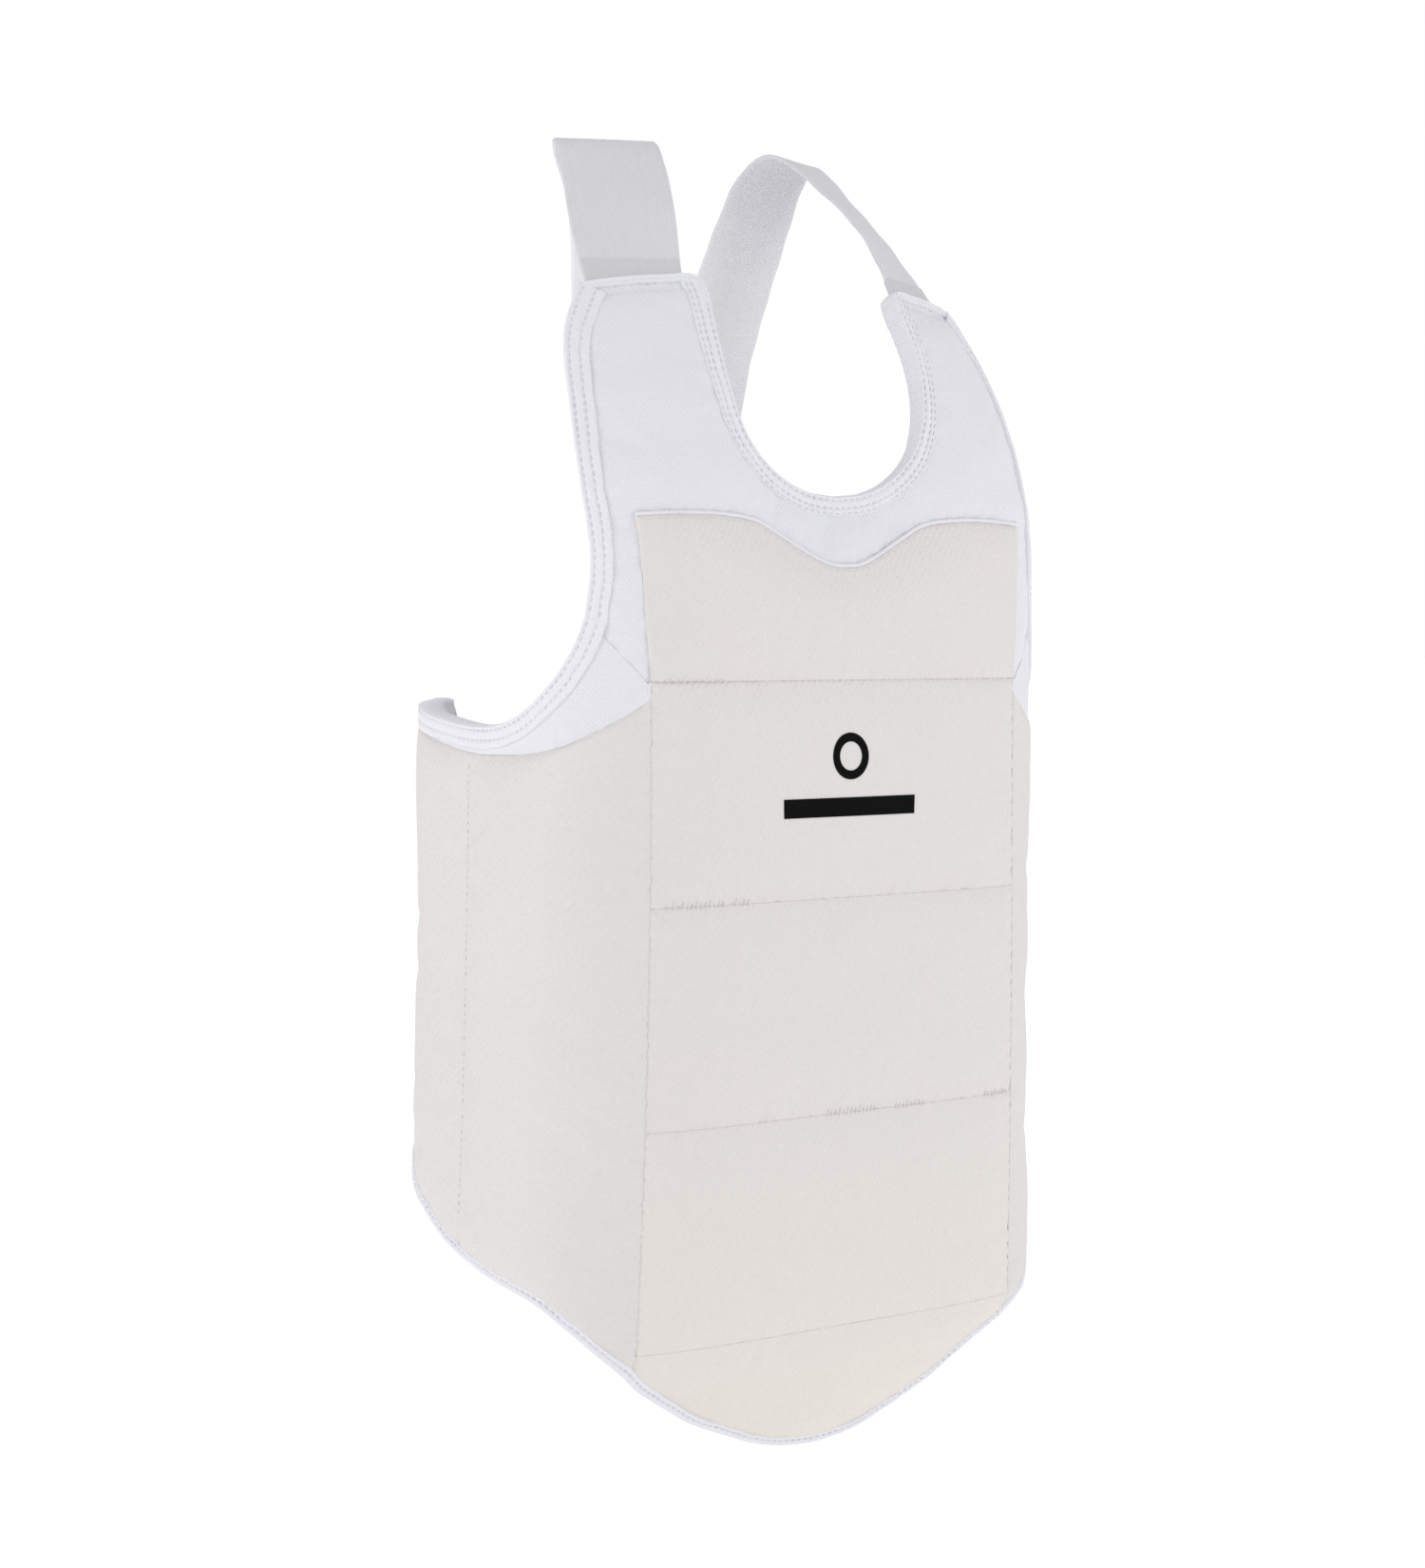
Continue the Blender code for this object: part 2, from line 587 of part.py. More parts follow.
def gusset_outline():
    """Textile between the wing cover and the armhole binding."""
    front = FOLD_ARC + 0.0002
    low = [point for point in offset(WING_TOP, 0.0003) if SEAM_ARC + 0.0030 < point[0] < 0.2700]
    arm = [point for point in offset(ARMHOLE_LOW, -RIM - BINDING_GAP) if point[0] < 0.2760]
    arm[0] = (arm[0][0], arm[0][1] - 0.0018)
    return [(front, 0.3480)] + low + arm[::-1] + [(front, FOLD_Z - 0.0012)]


def wing(side, sign):
    """Wing layers, gusset and binding, with their origin on the upright seam."""
    origin = tuple(surface(sign * SEAM_ARC, WING_ORIGIN_Z))
    for name, inset, front_gap, depths, mat in WING_LAYERS:
        padded(name + side, on_side(wing_outline(inset, front_gap), sign), depths, mat,
               z_cuts=WING_Z_CUTS, origin=origin)
    padded("wing_gusset_" + side, on_side(gusset_outline(), sign), GUSSET, MAT_TEXTILE,
           origin=origin)
    front = SEAM_ARC + 0.0042
    path = ARMHOLE_LOW[1:] + WING_REAR[1:] + WING_LOW[1:-1]
    path += [(front, height_at(WING_LOW, front))]
    strip("wing_binding_" + side, on_side(path, sign), -sign * BINDING_WIDTH, BODY_BINDING,
          origin=origin)


# --------------------------------------------------------------- waist belt
BELT_Z0, BELT_Z1 = 0.200, 0.260
BELT_MID_Z = 0.5 * (BELT_Z0 + BELT_Z1)
BELT_T = 0.0018
BELT_STEPS = 6
TAB_ARC0, TAB_ARC1 = 0.2972, 0.3290     # hook tab, from its front end to the belt
LOOP_ARC1 = 0.3200
LOOP_MARGIN = 0.003        # loop patch edge inside the belt edge
PATCH_CLEAR = 0.0006       # between loop patch and hook tab
TAB_INNER = LOOP_PATCH[0] - PATCH_CLEAR
HOOK_TAB = (TAB_INNER - BELT_T, TAB_INNER)
ANCHOR = (0.0116, 0.0116 + BELT_T)      # behind the lining of the left wing
ANCHOR_ARC0 = 0.2960
WING_END_ARC = 0.3262
PIVOT_OUT = 0.0030         # belt fold line beyond the wing's rear edge

TAB_END = wrap(-TAB_ARC1, BELT_MID_Z, 0.5 * (HOOK_TAB[0] + HOOK_TAB[1]))
BELT_START = TAB_END + np.array((0.0012, 0.0, 0.0))
BELT_END = (wrap(WING_END_ARC, BELT_MID_Z, 0.5 * (ANCHOR[0] + ANCHOR[1]))
            + np.array((-PIVOT_OUT, 0, 0)))


def belt_fastening():
    """Loop patch and hook tab on the right wing, belt anchor on the left."""
    loop = rect(TAB_ARC0, LOOP_ARC1, BELT_Z0 + LOOP_MARGIN, BELT_Z1 - LOOP_MARGIN)
    padded("loop_patch", on_side(loop, -1), LOOP_PATCH, MAT_LOOP, z_cuts=[])
    tab = rect(TAB_ARC0, TAB_ARC1 - 0.0002, BELT_Z0, BELT_Z1)
    padded("hook_tab", on_side(tab, -1), HOOK_TAB, MAT_HOOK, z_cuts=[], origin=tuple(TAB_END))
    anchor = rect(ANCHOR_ARC0, WING_END_ARC + PIVOT_OUT - 0.0011, BELT_Z0, BELT_Z1)
    padded("belt_anchor", anchor, ANCHOR, MAT_ELASTIC, z_cuts=[])


def belt():
    """Elastic across the back, from the hook tab to the left wing."""
    rings = []
    for i in range(BELT_STEPS + 1):
        x, y, _ = BELT_START + (BELT_END - BELT_START) * (i / BELT_STEPS)
        rear, front = y + BELT_T / 2, y - BELT_T / 2
        rings.append([(x, rear, BELT_Z0), (x, rear, BELT_Z1),
                      (x, front, BELT_Z1), (x, front, BELT_Z0)])
    finish_object("waist_elastic", capped_loft(rings), MAT_ELASTIC, origin=tuple(BELT_END))


# ------------------------------------------- back strap and shoulder straps
BACK_Y = 0.0620 + SHIFT_Y
PATCH_Z0, PATCH_Z1 = 0.372, 0.432
PATCH_T = 0.0012
PATCH_OUTER_GAP = 0.0004   # between the straps and the rear patch
PATCH_INNER_GAP = 0.0012   # between the straps and the patch in front of them
# Outline of the back patch: x, z
PATCH_OUTLINE = [(-0.034, PATCH_Z1), (0.034, PATCH_Z1), (0.036, 0.4200),
                 (0.027, PATCH_Z0), (-0.027, PATCH_Z0), (-0.036, 0.4200)]

PEAK = (0.0, 0.0200 + SHIFT_Y, 0.6060)  # where front and rear straps part
CUT_GAP = 0.0004           # from the peak plane to each strap end
MIDDLE_GAP = 0.0003        # from the middle of the back to each rear strap
TAB_STRAP_ARC = 0.0845     # middle of the strap inside the tab
TAB_STRAP_SHARE = 0.87     # strap width inside the tab, as a share
TAB_STRAP_DEPTH = 0.5 * (YOKE_COVER[1] + YOKE_LINING[0])
TAB_STRAP_Z = (0.5095, 0.5210, 0.5330)
# Left strap above the tab: x, y before the shift, z, turn in degrees
STRAP_STATIONS = [
    (0.0745, -0.0185, 0.5620, 36), (0.0640, 0.0000, 0.5850, 34), (0.0550, 0.0180, 0.6020, 25),
    (0.0495, 0.0300, 0.5960, 13), (0.0420, 0.0380, 0.5700, 6), (0.0320, 0.0545, 0.5150, 0),
    (0.0262, 0.0590, 0.4770, 0), (0.0160, 0.0612, 0.4300, 0),
    (0.0095, 0.0620, PATCH_Z0 + 0.0280, 0),
]


def back_strap():
    """Upright strap from the back patch down to the belt."""
    belt_y = float(np.interp(0.0, (BELT_START[0], BELT_END[0]), (BELT_START[1], BELT_END[1])))
    ribbon("back_strap", [across(0.0, BACK_Y, PATCH_Z0 - 0.0012),
                          across(0.0, BACK_Y, 0.330),
                          across(0.0, 0.5 * (BACK_Y + belt_y), 0.292),
                          across(0.0, belt_y, BELT_Z1 + 0.0004)], steps=2)


def in_tab(sign, z):
    """Row of strap points between the tab's cover and its lining."""
    row = [wrap(sign * (TAB_STRAP_ARC + TAB_STRAP_SHARE * STRAP_WIDTH * part), z,
                TAB_STRAP_DEPTH) for part in ACROSS]
    return row if sign > 0 else row[::-1]


def shoulder_strap(side, sign):
    """Strap from the tab over the shoulder to the back, in two pieces."""
    rows = [in_tab(sign, z) for z in TAB_STRAP_Z]
    rows += [across(sign * x, y + SHIFT_Y, z, sign * turn) for x, y, z, turn in STRAP_STATIONS]
    front = ribbon("strap_front_" + side, rows)
    trim(front, (0, PEAK[1] - CUT_GAP, 0), (0, 1, 0))
    rear = ribbon("strap_rear_" + side, rows, origin=PEAK)
    trim(rear, (0, PEAK[1] + CUT_GAP, 0), (0, -1, 0))
    trim(rear, (sign * MIDDLE_GAP, 0, 0), (-sign, 0, 0))


def back_patches():
    """Patches behind and in front of the meeting strap ends."""
    outer = BACK_Y + STRAP_T / 2 + PATCH_OUTER_GAP
    inner = BACK_Y - STRAP_T / 2 - PATCH_INNER_GAP
    for name, y0, y1 in (("back_patch", outer, outer + PATCH_T),
                         ("back_patch_inner", inner - PATCH_T, inner)):
        rings = [[(x, y, z) for x, z in PATCH_OUTLINE] for y in (y0, y1)]
        finish_object(name, capped_loft(rings), MAT_COVER, origin=PEAK)


# -------------------------------------------------------------------- build
quilted_panels()
chest()
front_lining()
yoke()
yoke_bindings()
emblem()
lower_flap()
for side_name, side_sign in SIDES:
    wing(side_name, side_sign)
belt_fastening()
belt()
back_strap()
for side_name, side_sign in SIDES:
    shoulder_strap(side_name, side_sign)
back_patches()
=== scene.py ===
"""Padded torso guard: quilted front, yoke, two side wings, shoulder straps and a waist belt.

Metres, +Z up. The front faces -Y, the wearer's left is +X, and the tip of the front is at
z = 0. Cloth is drawn flat as (arc, z): arc runs round the torso from the front centre line,
positive to the wearer's left. Depth is measured inwards from the torso surface.
Signs of -1 and 1 stand for the wearer's right and left.
"""

import json
import math

import bpy
import numpy as np
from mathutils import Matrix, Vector
from mathutils.bvhtree import BVHTree
from mathutils.geometry import delaunay_2d_cdt

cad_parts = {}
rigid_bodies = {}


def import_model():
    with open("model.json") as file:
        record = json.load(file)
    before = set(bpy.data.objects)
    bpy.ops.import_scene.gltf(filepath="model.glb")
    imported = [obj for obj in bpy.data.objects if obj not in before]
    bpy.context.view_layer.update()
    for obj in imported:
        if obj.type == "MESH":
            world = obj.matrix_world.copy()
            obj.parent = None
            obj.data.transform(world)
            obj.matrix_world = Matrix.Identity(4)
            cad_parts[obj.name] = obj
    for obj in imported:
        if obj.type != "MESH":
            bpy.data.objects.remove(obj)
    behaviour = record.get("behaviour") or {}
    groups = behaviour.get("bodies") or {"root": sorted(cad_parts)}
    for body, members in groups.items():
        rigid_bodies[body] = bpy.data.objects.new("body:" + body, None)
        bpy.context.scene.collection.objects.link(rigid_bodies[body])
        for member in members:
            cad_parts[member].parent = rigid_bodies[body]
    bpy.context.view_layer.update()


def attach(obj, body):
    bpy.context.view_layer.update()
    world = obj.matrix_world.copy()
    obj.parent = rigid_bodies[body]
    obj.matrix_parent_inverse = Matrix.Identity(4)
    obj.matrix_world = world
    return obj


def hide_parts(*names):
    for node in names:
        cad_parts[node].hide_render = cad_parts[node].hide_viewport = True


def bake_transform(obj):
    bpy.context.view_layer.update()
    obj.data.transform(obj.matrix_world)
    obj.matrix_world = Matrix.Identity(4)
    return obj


for leftover in list(bpy.data.objects):
    bpy.data.objects.remove(leftover)

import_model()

SIDES = (("right", -1), ("left", 1))

# Torso section: flat front, superellipse corner, round rear corner, straight run inwards
HALF_WIDTH, HALF_DEPTH = 0.1435, 0.0890
FLAT_HALF = 0.035
POWER = 3.6
REAR_R, REAR_Y = 0.032, 0.0404
REAR_TILT, REAR_RUN = math.radians(5.0), 0.060
SHIFT_Y = 0.0081
NORMAL_STEP = 0.0012

# Quilting seams: cross seam heights from the tip upwards, and the arc of the corner seams
Z_TIP = 0.060
Z_SEAM = [Z_TIP, 0.158, 0.256, 0.354]
CROSS_SEAM_DEPTH = np.array((0.00014, 0.00040, 0.00052, 0.00078))
S_SEAM = 0.107
CORNER_SEAM_DEPTH = 0.0007
GAP = 0.00005                # from a seam to the edge of the panel beside it
PANEL_HALF = S_SEAM - GAP
S_STITCH = 0.213             # sewn line down each flank
COVER_BACK = 0.0060          # depth where cover and lining meet
YOKE_BACK = 0.0042
LINING_STEP = 0.0030

STRAP_W, STRAP_T = 0.048, 0.0018
DOUBLED = 0.0405             # folded and sewn lower end of the shoulder elastic
BELT_LOW, BELT_TOP = 0.200, 0.260
BELT_MID = 0.5 * (BELT_LOW + BELT_TOP)
BELT_T = 0.0018
BACK_Y = 0.0620 + SHIFT_Y    # plane of the back patch
PATCH_LOW, PATCH_TOP = 0.372, 0.432


# --------------------------------------------------------------------------
# Torso surface
# --------------------------------------------------------------------------
def section_table():
    """Left half of the level section, front to rear, as columns arc, x, y."""
    points = [(0.0, -HALF_DEPTH), (FLAT_HALF, -HALF_DEPTH)]
    for i in range(1, 401):
        angle = 0.5 * math.pi * i / 400
        across = math.sin(angle) ** (2.0 / POWER)
        ahead = math.cos(angle) ** (2.0 / POWER) if i < 400 else 0.0
        points.append((FLAT_HALF + (HALF_WIDTH - FLAT_HALF) * across, -HALF_DEPTH * ahead))
    for i in range(201):
        angle = (0.5 * math.pi + REAR_TILT) * i / 200
        points.append((HALF_WIDTH - REAR_R + REAR_R * math.cos(angle),
                       REAR_Y + REAR_R * math.sin(angle)))
    x, y = points[-1]
    points.append((x - REAR_RUN * math.cos(REAR_TILT), y - REAR_RUN * math.sin(REAR_TILT)))
    points = np.array(points)
    arc = np.concatenate(([0.0], np.cumsum(np.hypot(*np.diff(points, axis=0).T))))
    keep = np.concatenate(([True], np.diff(arc) > 1e-9))
    return arc[keep], points[keep, 0], points[keep, 1]


SECTION_ARC, SECTION_X, SECTION_Y = section_table()


def surf(arc, z):
    """Points of the torso surface."""
    arc, z = np.broadcast_arrays(np.asarray(arc, float), np.asarray(z, float))
    sign = np.where(arc >= 0, 1.0, -1.0)
    x = np.interp(np.abs(arc), SECTION_ARC, SECTION_X)
    y = np.interp(np.abs(arc), SECTION_ARC, SECTION_Y)
    above_tip = z - Z_TIP
    # width and forward bow change with height
    rise = np.clip(above_tip, 0.0, 0.2495)
    girth = 1.020 - 0.25 * rise + 0.40 * rise * rise
    rise = np.clip(above_tip, 0.0, 0.25)
    y = y + 0.0043 - 0.050 * rise + 0.10 * rise * rise
    # the top leans back, more so at its sides
    rise = np.maximum(0.0, z - 0.405)
    outer = np.clip((x - 0.050) / 0.075, 0.0, 1.0)
    y = y + rise * rise * (2.1 + 1.6 * outer)
    # hollow below the neck, eased in and out with height
    ease_in = np.clip((z - 0.385) / 0.050, 0.0, 1.0)
    ease_out = np.clip((z - 0.450) / 0.055, 0.0, 1.0)
    hollow = 0.0085 * np.exp(-(x / 0.070) ** 2)
    y = y + (hollow * ease_in * ease_in * (3 - 2 * ease_in)
             * (1 - ease_out * ease_out * (3 - 2 * ease_out)))
    # the tip turns in
    drop = np.maximum(0.0, -above_tip)
    y = y + 0.38 * drop * np.minimum(1.0, drop / 0.020) + 0.27 * drop * (x / 0.09) ** 2
    return np.stack((sign * x * girth, y + SHIFT_Y, z), -1)


def unit(vectors):
    return vectors / np.linalg.norm(vectors, axis=-1, keepdims=True)


def normal(arc, z):
    """Outward unit normals of the torso surface."""
    along_arc = surf(arc + NORMAL_STEP, z) - surf(arc - NORMAL_STEP, z)
    along_z = surf(arc, z + NORMAL_STEP) - surf(arc, z - NORMAL_STEP)
    return unit(np.cross(along_arc, along_z))


def wrap(arc, z, depth):
    """Points at a depth inside the torso surface."""
    arc, z, depth = np.broadcast_arrays(*(np.asarray(v, float) for v in (arc, z, depth)))
    return surf(arc, z) - normal(arc, z) * depth[..., None]


# --------------------------------------------------------------------------
# Irregularities
# --------------------------------------------------------------------------
def ripple(x, seed=0):
    """Smooth, repeatable wander, about -1 to 1. x is in units of its wavelength."""
    rand = np.random.RandomState(seed + 11).rand
    total = 0.0
    for k in range(6):
        rate = 0.45 + 0.31 * k + 0.1 * rand()
        total = total + np.sin(2 * math.pi * (rate * x + rand())) / (1.0 + 0.35 * k)
    return total / 2.6


def wander(arc, z, size, seed=0):
    """Smooth, repeatable field over the cloth, about -1 to 1."""
    rand = np.random.RandomState(seed + 101).rand
    total = 0.0
    for _ in range(7):
        angle = 2 * math.pi * rand()
        rate = (0.6 + 0.9 * rand()) / size
        run = arc * math.cos(angle) + z * math.sin(angle)
        total = total + np.sin(2 * math.pi * rate * run + 6.283 * rand())
    return total / 3.2


def patchy(run, length, seed):
    """0 to 1, strong in places along a run."""
    return np.clip(ripple(run / length, seed), 0, 1)


def gathers(run, pitch, sway, sway_length, seed):
    """Wave along a run whose phase sways."""
    return np.sin(2 * math.pi * run / pitch + sway * ripple(run / sway_length, seed))


def bell(distance, width, power):
    return np.exp(-(distance / width) ** power)


def fade(distance, width):
    return np.exp(-distance / width)


# --------------------------------------------------------------------------
# Paths and outlines in the cloth plane
# --------------------------------------------------------------------------
def spline(points, per=8):
    """Catmull-Rom curve through points, or through rows of points."""
    knots = [np.array(point, float) for point in points]
    knots = [2 * knots[0] - knots[1]] + knots + [2 * knots[-1] - knots[-2]]
    curve = []
    for a, b, c, d in zip(knots, knots[1:], knots[2:], knots[3:]):
        for j in range(per):
            t = j / per
            curve.append(0.5 * ((2 * b) + (-a + c) * t + (2 * a - 5 * b + 4 * c - d) * t * t
                                + (-a + 3 * b - 3 * c + d) * t ** 3))
    curve.append(knots[-2])
    return np.array(curve)


def run_length(points):
    """Length along a path up to each of its points."""
    return np.concatenate(([0.0], np.cumsum(np.linalg.norm(np.diff(points, axis=0), axis=1))))


def sample(points, run, at):
    """Points interpolated at the places `at` along a path."""
    return np.stack([np.interp(at, run, points[:, i]) for i in range(points.shape[1])], -1)


def even(path, step):
    """The path again with points evenly spaced along it."""
    path = np.array(path, float)
    lengths = np.linalg.norm(np.diff(path, axis=0), axis=1)
    path = path[np.concatenate(([True], lengths > 1e-9))]
    run = run_length(path)
    count = max(2, int(round(run[-1] / step)) + 1)
    return sample(path, run, np.linspace(0.0, run[-1], count))


def dense(outline, step):
    """Extra points between the corners of a closed outline; the corners stay."""
    outline = np.array(outline, float)
    points = []
    for a, b in zip(outline, np.roll(outline, -1, axis=0)):
        length = np.linalg.norm(b - a)
        if length < 1e-9:
            continue
        count = max(1, int(math.ceil(length / step)))
        for i in range(count):
            points.append(a + (b - a) * i / count)
    return np.array(points)


def left_of(tangents):
    """Unit vectors to the left of directions in the cloth plane."""
    tangents = unit(tangents)
    return np.stack((-tangents[:, 1], tangents[:, 0]), -1)


def side_dir(path):
    return left_of(np.gradient(path, axis=0))


def moved(path, distance):
    """An open path moved to its left."""
    return path + side_dir(path) * distance


def mirror(path, sign):
    """The path on the wearer's left (1) or right (-1)."""
    return np.array(path, float) * (sign, 1)


def both_halves(path):
    """A left half drawn from the centre line, as one path from right to left."""
    return np.vstack((mirror(path, -1)[::-1][:-1], path))


def whole(half):
    """Closed outline from a left half drawn from centre line to centre line."""
    half = [tuple(point) for point in half]
    return np.array(half + [(-arc, z) for arc, z in reversed(half) if abs(arc) > 1e-6])


def line(start, end, count=60):
    return np.column_stack([np.linspace(a, b, count) for a, b in zip(start, end)])


def height_at(path, arc):
    """Height of an open path at an arc, run on straight beyond its ends."""
    legs = list(zip(path[:-1], path[1:]))
    spanning = [leg for leg in legs
                if min(leg[0][0], leg[1][0]) <= arc <= max(leg[0][0], leg[1][0])]
    if spanning:
        a, b = spanning[0]
    else:
        a, b = min(legs, key=lambda leg: abs(0.5 * (leg[0][0] + leg[1][0]) - arc))
    return float(a[1] + (b[1] - a[1]) * (arc - a[0]) / (b[0] - a[0]))


def double_area(outline):
    """Twice the enclosed area, positive when anticlockwise."""
    x, y = outline[:, 0], outline[:, 1]
    return float(np.sum(x * np.roll(y, -1) - np.roll(x, -1) * y))


def inside(points, outline):
    within = np.zeros(len(points), bool)
    for (x0, y0), (x1, y1) in zip(outline, np.roll(outline, -1, axis=0)):
        if y0 == y1:
            continue
        level = (y0 > points[:, 1]) != (y1 > points[:, 1])
        within ^= level & (points[:, 0] < (x1 - x0) * (points[:, 1] - y0) / (y1 - y0) + x0)
    return within


def reach(points, path):
    """Distance from each point to a path, and how far along it the nearest place is."""
    best = np.full(len(points), 1e9)
    along = np.zeros(len(points))
    run = 0.0
    for a, b in zip(path[:-1], path[1:]):
        leg = b - a
        square = float(leg @ leg)
        if square < 1e-14:
            continue
        t = np.clip((points - a) @ leg / square, 0.0, 1.0)
        distance = np.hypot(points[:, 0] - a[0] - t * leg[0], points[:, 1] - a[1] - t * leg[1])
        near = distance < best
        best = np.where(near, distance, best)
        along = np.where(near, run + t * math.sqrt(square), along)
        run += math.sqrt(square)
    return best, along


def fill(outline, step, layers=(0.0006, 0.0014, 0.0024, 0.0035)):
    """Points, triangles and closed edge of a filled outline, with finer layers along the edge."""
    edge = dense(outline, step)
    if double_area(edge) < 0:
        edge = edge[::-1]
    inward = left_of(np.roll(edge, -1, axis=0) - np.roll(edge, 1, axis=0))
    ring = np.vstack((edge, edge[:1]))
    points = [edge]
    for inset in layers:
        layer = edge + inward * inset
        distance, _ = reach(layer, ring)
        points.append(layer[np.abs(distance - inset) < 0.12 * inset])
    columns, levels = (np.arange(edge[:, i].min(), edge[:, i].max() + step, step)
                       for i in range(2))
    grid_x, grid_z = np.meshgrid(columns, levels)
    grid_x[1::2] += 0.5 * step
    grid = np.stack((grid_x.ravel(), grid_z.ravel()), -1)
    grid = grid[inside(grid, edge)]
    distance, _ = reach(grid, ring)
    points.append(grid[distance > layers[-1] + 0.55 * step])
    verts, _, faces, _, _, sources = delaunay_2d_cdt(
        [Vector(point) for point in np.vstack(points)], [], [list(range(len(edge)))], 0, 1e-6)
    tris = [tuple(face) for face, source in zip(faces, sources) if len(source) > 0]
    used = sorted({i for face in tris for i in face})
    index = {old: new for new, old in enumerate(used)}
    flat = np.array([(verts[i].x, verts[i].y) for i in used])
    return flat, np.array([[index[i] for i in face] for face in tris]), ring


# --------------------------------------------------------------------------
# Meshes
# --------------------------------------------------------------------------
def mesh_object(name, verts, faces, fab, material, sharp=40.0):
    """Smooth-shaded object; fab holds the cloth coordinates its material is drawn in."""
    mesh = bpy.data.meshes.new(name)
    mesh.from_pydata([tuple(v) for v in verts], [], [tuple(int(i) for i in f) for f in faces])
    attribute = mesh.attributes.new("fab", "FLOAT_VECTOR", "POINT")
    attribute.data.foreach_set("vector", np.asarray(fab, np.float32).ravel())
    mesh.materials.append(material)
    mesh.validate()
    mesh.shade_smooth()
    mesh.set_sharp_from_angle(angle=math.radians(sharp))
    mesh.update()
    obj = bpy.data.objects.new(name, mesh)
    bpy.context.scene.collection.objects.link(obj)
    return obj


def outward(verts, faces):
    """Faces turned so that the closed mesh encloses a positive volume."""
    volume = 0.0
    for face in faces:
        for i in range(1, len(face) - 1):
            volume += float(np.dot(verts[face[0]],
                                   np.cross(verts[face[i]], verts[face[i + 1]])))
    return faces if volume >= 0 else [tuple(reversed(face)) for face in faces]


def open_edges(tris):
    edges = {(face[i], face[(i + 1) % 3]): True for face in tris for i in range(3)}
    return [(a, b) for a, b in edges if (b, a) not in edges]


def two_sided(name, top, bottom, faces, fab, material, rim=None, sharp=40.0):
    """Closed object from two matching layers of points, joined round their open edges."""
    count = len(top)
    faces = [tuple(face) for face in faces]
    if rim is None:
        rim = open_edges(faces)
    faces += [tuple(i + count for i in reversed(face)) for face in faces]
    faces += [(b, a, a + count, b + count) for a, b in rim]
    verts = np.vstack((top, bottom))
    return mesh_object(name, verts, outward(verts, faces), fab, material, sharp)


def sweep(name, rows, fab_rows, material, sharp=40.0):
    """Capped tube through equal rows of points."""
    rows = np.asarray(rows, float)
    count, around, _ = rows.shape
    faces = []
    for a in range(0, (count - 1) * around, around):
        b = a + around
        for j in range(around):
            k = (j + 1) % around
            faces.append((a + j, a + k, b + k, b + j))
    faces.append(tuple(range(around))[::-1])
    faces.append(tuple(range((count - 1) * around, count * around)))
    verts = rows.reshape(-1, 3)
    fab = np.asarray(fab_rows, float).reshape(-1, 3)
    return mesh_object(name, verts, outward(verts, faces), fab, material, sharp)


# --------------------------------------------------------------------------
# Padded cloth
# --------------------------------------------------------------------------
# Cloth simulations: filling pressure, share of spare cloth and the greatest lift
QUILT_PUFF = dict(pressure=2.5, slack=0.010, cap=0.0030)
YOKE_PUFF = dict(pressure=1.2, slack=0.012, cap=0.0018)
SIM_SCALE, SIM_FRAMES = 10.0, 20
HELD = 0.0012                # cloth this close to an edge or seam is held


def smooth_lift(values, tris, rounds, hold):
    """Averages values over the mesh's neighbours, except where held."""
    edges = np.vstack((tris[:, [0, 1]], tris[:, [1, 2]], tris[:, [2, 0]]))
    edges = np.unique(np.sort(edges, axis=1), axis=0)
    for _ in range(rounds):
        total = np.zeros_like(values)
        count = np.zeros(len(values))
        for here, there in ((0, 1), (1, 0)):
            np.add.at(total, edges[:, here], values[edges[:, there]])
            np.add.at(count, edges[:, here], 1)
        mean = 0.5 * values + 0.5 * total / np.maximum(count, 1)
        values = np.where(hold, values, mean)
    return values


def puff(name, flat, tris, depth, held, pressure, slack, cap):
    """Simulates a cover held along its seams and blown up by its filling.
    Returns how far each point moves outwards."""
    rest = wrap(*flat.T, depth)
    out = normal(*flat.T)
    faces = tris
    a, b, c = rest[faces[0]]
    if np.dot(np.cross(b - a, c - a), out[faces[0][0]]) < 0:
        faces = faces[:, ::-1]
    mesh = bpy.data.meshes.new("sim_" + name)
    mesh.from_pydata([tuple(v) for v in rest * SIM_SCALE], [],
                     [tuple(int(i) for i in f) for f in faces])
    obj = bpy.data.objects.new("sim_" + name, mesh)
    scene = bpy.context.scene
    scene.collection.objects.link(obj)
    group = obj.vertex_groups.new(name="pin")
    group.add([int(i) for i in np.nonzero(held)[0]], 1.0, "REPLACE")
    modifier = obj.modifiers.new("Cloth", "CLOTH")
    cloth = modifier.settings
    cloth.quality = 5
    cloth.mass = 0.15
    cloth.tension_stiffness = 20
    cloth.compression_stiffness = 20
    cloth.shear_stiffness = 8
    cloth.bending_stiffness = 1.5
    cloth.vertex_group_mass = "pin"
    cloth.shrink_min = -slack
    cloth.use_pressure = True
    cloth.uniform_pressure_force = pressure
    cloth.effector_weights.gravity = 0.0
    modifier.collision_settings.use_collision = False
    modifier.point_cache.frame_start = 1
    modifier.point_cache.frame_end = SIM_FRAMES
    for frame in range(1, SIM_FRAMES + 1):
        scene.frame_set(frame)
    evaluated = obj.evaluated_get(bpy.context.evaluated_depsgraph_get())
    places = np.zeros(len(rest) * 3)
    evaluated.data.vertices.foreach_get("co", places)
    shift = places.reshape(-1, 3) / SIM_SCALE - rest
    lift = np.nan_to_num(np.einsum("ij,ij->i", shift, out))
    scene.frame_set(1)
    bpy.data.objects.remove(obj)
    bpy.data.meshes.remove(mesh)
    return cap * np.tanh(lift / cap)


PADS = {}


